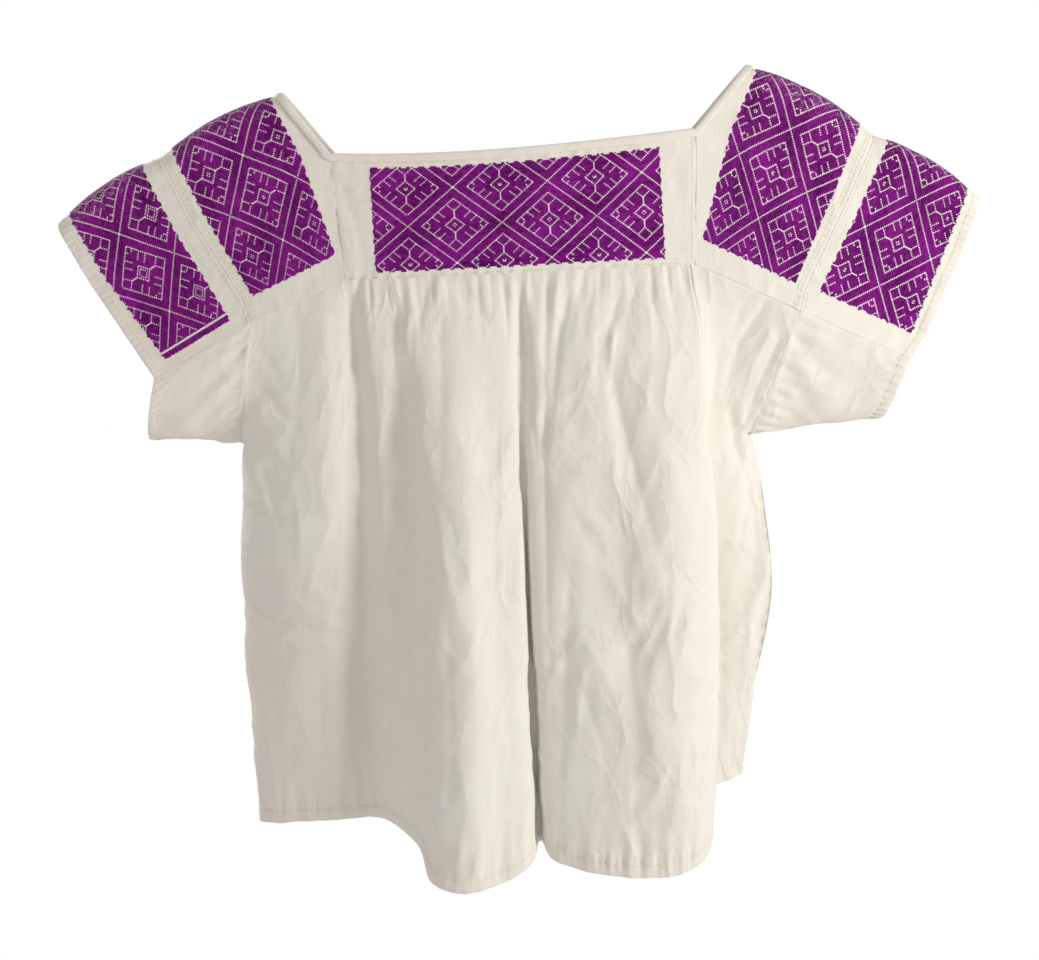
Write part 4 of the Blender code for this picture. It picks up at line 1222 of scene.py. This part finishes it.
def embroider(name, sheet, settings, strip, ringed=1, bar=0.0):
    """The counted stitches of a field: strip says that the rows of stitches run along a panel over the
    shoulder."""
    field = sheet.field
    rows, columns = field.last_row - field.first_row, field.last_column - field.first_column
    inner = sheet.points[field.first_row : field.last_row + 1]
    inner = inner[:, field.first_column : field.last_column + 1]
    axes = (0, 1) if strip else (1, 0)
    length, width = (from_first(inner, axis).take(-1, axis).mean() for axis in axes)
    crossing = CROSSINGS[name]
    if strip:
        crossing = (length / 2 - crossing[0], crossing[1])
    start, end, across = stitch_runs(length, width, crossing, settings, ringed, bar).T
    if strip:
        row_pair = [field.first_row + place / length * rows for place in (start, end)]
        column_pair = [field.first_column + across / width * columns] * 2
    else:
        row_pair = [field.first_row + across / width * rows] * 2
        column_pair = [field.first_column + place / length * columns for place in (start, end)]
    half = settings.row_pitch / MM * STITCH_HALF_WIDTH
    points, faces = solid_stitches(sheet, row_pair, column_pair, half, settings.height / MM)
    tones = (settings.colour, settings.dark)
    thread = shared_material("cotton_thread_dyed_purple", make_thread, *tones, 0.0)
    obj = fresh_object(f"{name}_stitches", points, faces, thread)

    # Each stitch has a tone: soft patches where the thread took more dye, and some unevenness from one
    # to the next
    rng = np.random.default_rng(settings.seed)
    patch = 0.5 + 0.5 * np.sin(start / 17 + across / 9) * np.cos(across / 13 - start / 29)
    tones = np.clip(0.3 + 0.5 * patch + rng.normal(0, 0.2, len(start)), 0, 1)
    attribute = obj.data.attributes.new("tone", "FLOAT", "FACE")
    attribute.data.foreach_set("value", np.repeat(tones, len(STITCH_FACES)).astype(np.float32))
    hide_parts(f"{name}_embroidery")
    return obj


def sewn_line(sheet, rows, columns, pitch=3.0, share=0.72, half_width=0.28, height=0.32):
    """Points and faces of a row of sewing stitches along a path of grid places."""
    length = from_first(at_places(sheet, rows, columns, 0.0))
    starts = np.arange(max(1, int(length[-1] / pitch))) * pitch
    ends = (starts, starts + pitch * share)
    pairs = [[np.interp(place, length, way) for place in ends] for way in (rows, columns)]
    return solid_stitches(sheet, *pairs, half_width, height)


def sewing_object(name, sheet, paths, cloth):
    """All the sewing stitches of one panel, as one object."""
    points, faces, count = [], [], 0
    for rows, columns in paths:
        line_points, line_faces = sewn_line(sheet, rows, columns)
        points.append(line_points)
        faces.append(line_faces + count)
        count += len(line_points)
    obj = fresh_object(name, np.concatenate(points), np.concatenate(faces), sewing_thread(cloth))
    return obj


def line_down(sheet, distance, from_end=False):
    """A path down a sheet at a distance in from a side edge: its rows, and the column at each."""
    length = from_first(sheet.points[:, ::-1] if from_end else sheet.points, 1)
    columns = np.array([np.interp(distance, row, np.arange(len(row))) for row in length])
    if from_end:
        columns = sheet.points.shape[1] - 1 - columns
    return np.arange(len(columns), dtype=float), columns


def line_across(sheet, distance):
    """A path across a sheet at a distance in from its last row: the row at each column, and the
    columns."""
    turned = sheet._replace(points=np.swapaxes(sheet.points, 0, 1))
    return line_down(turned, distance, from_end=True)[::-1]


def lines_down(sheet, piece):
    """The rows of sewing stitches down a panel of this kind."""
    return [line_down(sheet, *row) for row in SEWING_DOWN[piece]]


def make_panel(name, sheet, wall, held, paths, ringed=1, bar=0.0):
    """The cloth of a panel with its stitches and sewing. It hides the solid that the sheet stands for
    and works out the sheet's flat size."""
    scene = bpy.context.scene
    cloth = scene.blouse_cloth
    obj = sheet_object(f"{name}_cloth", sheet, muslin(cloth), wall)
    if sheet.field:
        # A draped panel goes over the shoulder, and its rows of stitches run along it
        embroider(name, sheet, scene.blouse_embroidery, held == "draped", ringed, bar)
    sewing_object(f"{name}_sewing", sheet, paths, cloth)
    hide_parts(name)
    width, length, area = flat_size(sheet)
    area = min(area, width * length)


class BLOUSE_OT_yokes(bpy.types.Operator):
    """Makes the front and back yokes with their embroidered fields"""

    bl_idname = "blouse.yokes"
    bl_label = "Yokes"

    def execute(self, context):
        cloth = context.scene.blouse_cloth
        for face in (FRONT, BACK):
            sheet = yoke_sheet(face, cloth.cell / MM)
            paths = [*lines_down(sheet, "yoke"), line_across(sheet, YOKE_FOOT_SEWING)]
            make_panel(f"{FACE_NAMES[face]}_yoke", sheet, cloth.doubled_wall, "hung", paths)
        return {"FINISHED"}


class BLOUSE_OT_tops(bpy.types.Operator):
    """Makes the shoulders and the upper sleeves with their embroidered fields"""

    bl_idname = "blouse.tops"
    bl_label = "Shoulders and sleeves"

    def execute(self, context):
        cloth = context.scene.blouse_cloth
        for side in SIGN:
            for piece in TOP_LINES:
                name = f"{side}_{piece}"
                sheet = top_sheet(side, piece, cloth.cell / MM)
                paths = lines_down(sheet, piece)
                ringed, bar = (RINGED, SLEEVE_BAR) if name == "left_sleeve" else (1, 0.0)
                make_panel(name, sheet, cloth.doubled_wall, "draped", paths, ringed, bar)
        return {"FINISHED"}


class BLOUSE_OT_underarms(bpy.types.Operator):
    """Makes the plain lower halves of the sleeves"""

    bl_idname = "blouse.underarms"
    bl_label = "Underarms"

    def execute(self, context):
        cloth = context.scene.blouse_cloth
        for side in SIGN:
            sheet = underarm_sheet(side, cloth.cell / MM)
            paths = lines_down(sheet, "underarm")
            make_panel(f"{side}_underarm", sheet, cloth.wall, "hung", paths)
        return {"FINISHED"}


class BLOUSE_OT_body(bpy.types.Operator):
    """Makes the gathered front and back of the body"""

    bl_idname = "blouse.body"
    bl_label = "Body"

    def execute(self, context):
        cloth = context.scene.blouse_cloth
        for face, folds, creases, cell in (
            (FRONT, FRONT_FOLDS, FRONT_CREASES, cloth.cell),
            (BACK, BACK_FOLDS, BACK_CREASES, cloth.back_cell),
        ):
            hem = cloth.hem / MM
            sheet = Body(folds, face).sheet(creases, cell / MM, cloth.gather_height / MM, hem)
            hem_line = line_across(sheet, hem)
            make_panel(f"{FACE_NAMES[face]}_body", sheet, cloth.wall, "gathered", [hem_line])
        return {"FINISHED"}


def neckline():
    """The neck's edge all round, as points, directions into the cloth and outward normals."""
    parts = []
    for face, sides in ((FRONT, ("left", "right")), (BACK, ("right", "left"))):
        starts = [SIGN[side] * neck_edge(side, 0.0)[0] for side in sides]
        x = np.linspace(*starts, YOKE_STEPS + 2)[1:-1]
        edge, inside = (hang(yoke_point(x, np.full(x.shape, down), face)) for down in (0.0, 0.06))
        parts.append((edge, inside, np.tile([0.0, face, 0.0], (len(x), 1))))
        side = sides[1]
        turn = np.linspace(-1, 1, SHOULDER_STEPS + 1) * -face
        fall = BEND_SHARE * turn**2
        lines = [SEAM_LINES[side][name] for name in TOP_LINES["shoulder"][:2]]
        edge, inside = (hang(lift_round(along_line(line, fall), side, turn)) for line in lines)
        beside = unit(np.cross(np.gradient(edge, axis=0), inside - edge))
        beside *= np.sign((beside * (inside - BELOW_NECK)).sum(1, keepdims=True))
        parts.append((edge, inside, beside))
    edge, inside, beside = (np.concatenate(part) for part in zip(*parts))
    return edge, unit(inside - edge), beside


def smoothed(ring):
    """The values round a closed ring, each drawn a little towards its neighbours, twice."""
    for _ in range(2):
        ring = (np.roll(ring, 1, 0) + 2 * ring + np.roll(ring, -1, 0)) / 4
    return ring


class BLOUSE_OT_binding(bpy.types.Operator):
    """Makes the narrow folded tape round the neck"""

    bl_idname = "blouse.binding"
    bl_label = "Neck binding"

    def execute(self, context):
        cloth = context.scene.blouse_cloth
        edge, into, out = neckline()
        into, out = smoothed(into), unit(smoothed(out))
        into = unit(into - out * (into * out).sum(1, keepdims=True))
        wobble = puckers(from_first(edge), 0, pitch=6.5, height=0.22, reach=1.0, seed=2)[:, None]
        columns = []
        for deep, high in BINDING_SECTION:
            columns.append(edge + into * deep + out * (high + wobble * (high > 0.9)))
        points = np.stack(columns, 1)
        points = np.concatenate([points, points[:1]])
        sheet = Sheet(points, normals_of(points, 1), None)
        obj = sheet_object("neck_binding_cloth", sheet, muslin(cloth), cloth.wall)
        weld = obj.modifiers.new("closed_ring", "WELD")
        weld.merge_threshold = 0.00001
        obj.modifiers.move(obj.modifiers.find("closed_ring"), 0)
        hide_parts("neck_binding")
        return {"FINISHED"}


class BLOUSE_OT_stage(bpy.types.Operator):
    """Makes the pale floor, the soft lights and the camera"""

    bl_idname = "blouse.stage"
    bl_label = "Stage"

    def execute(self, context):
        stage = context.scene.blouse_stage
        self.make_floor(stage)
        for name, (place, size, colour) in LIGHTS.items():
            self.make_light(name, place, size, getattr(stage, name), linear(colour))
        self.make_world(stage)
        self.make_camera(stage)
        return {"FINISHED"}

    def make_floor(self, stage):
        """A plain pale floor, as far below the blouse as it would be under a wearer's shoulders."""
        turns = np.linspace(0, 2 * math.pi, FLOOR_SIDES, endpoint=False)
        radius, depth = FLOOR_RADIUS / MM, FLOOR_DEPTH / MM
        points = [(radius * math.cos(turn), radius * math.sin(turn), -depth) for turn in turns]
        paint, _, shader = new_material("painted_pale_floor", 0.95, 0.2)
        shader.inputs["Base Color"].default_value = (*stage.floor, 1)
        fresh_object("floor", points, [tuple(range(len(points)))], paint, None)

    def make_light(self, name, place, size, power, colour):
        light = bpy.data.lights.new(name, "AREA")
        light.size = size
        light.energy = power
        light.color = colour
        obj = bpy.data.objects.new(name, light)
        bpy.context.scene.collection.objects.link(obj)
        obj.location = place
        obj.rotation_euler = (Vector(LIGHT_AIM) - obj.location).to_track_quat("-Z", "Y").to_euler()

    def make_world(self, stage):
        """Soft light from all round, which the camera sees as plain white."""
        world = bpy.data.worlds.new("soft_white_room")
        world.use_nodes = True
        tree = world.node_tree
        background = tree.nodes["Background"]
        seen = add_node(tree, "ShaderNodeLightPath").outputs["Is Camera Ray"]
        colour = add_mix(tree, seen, linear(ROOM_COLOUR), (1, 1, 1))
        tree.links.new(colour, background.inputs["Color"])
        tree.links.new(add_range(tree, seen, 0.0, 1.0, stage.room), background.inputs["Strength"])
        bpy.context.scene.world = world

    def make_camera(self, stage):
        camera = bpy.data.cameras.new("camera")
        camera.sensor_width = CAMERA_SENSOR
        camera.lens = stage.lens
        camera.clip_start = 0.01
        obj = bpy.data.objects.new("camera", camera)
        bpy.context.scene.collection.objects.link(obj)
        obj.location = CAMERA_PLACE
        obj.rotation_euler = (math.pi / 2 - stage.pitch, 0, 0)
        bpy.context.scene.camera = obj
        bpy.context.scene.view_settings.view_transform = "Standard"


class BLOUSE_PT_panel(bpy.types.Panel):
    """The blouse's settings and its pieces"""

    bl_label = "Blouse"
    bl_space_type = "VIEW_3D"
    bl_region_type = "UI"
    bl_category = "Blouse"

    def draw(self, context):
        for name in SETTINGS:
            box, group = self.layout.box(), getattr(context.scene, name)
            for setting in group.__annotations__:
                box.prop(group, setting)
        for operator in PIECES:
            self.layout.operator(operator.bl_idname)


SETTINGS = {
    "blouse_cloth": ClothSettings,
    "blouse_embroidery": EmbroiderySettings,
    "blouse_stage": StageSettings,
}
PIECES = (
    BLOUSE_OT_body,
    BLOUSE_OT_yokes,
    BLOUSE_OT_tops,
    BLOUSE_OT_underarms,
    BLOUSE_OT_binding,
    BLOUSE_OT_stage,
)


def register():
    for cls in (*SETTINGS.values(), *PIECES, BLOUSE_PT_panel):
        bpy.utils.register_class(cls)
    for name, group in SETTINGS.items():
        setattr(bpy.types.Scene, name, PointerProperty(type=group))


def unregister():
    for name in SETTINGS:
        delattr(bpy.types.Scene, name)
    for cls in (BLOUSE_PT_panel, *reversed(PIECES), *reversed(list(SETTINGS.values()))):
        bpy.utils.unregister_class(cls)


def main():
    bpy.ops.object.select_all(action="DESELECT")
    register()
    bpy.ops.blouse.body()
    bpy.ops.blouse.yokes()
    bpy.ops.blouse.tops()
    bpy.ops.blouse.underarms()
    bpy.ops.blouse.binding()
    bpy.ops.blouse.stage()


if __name__ == "__main__":
    main()
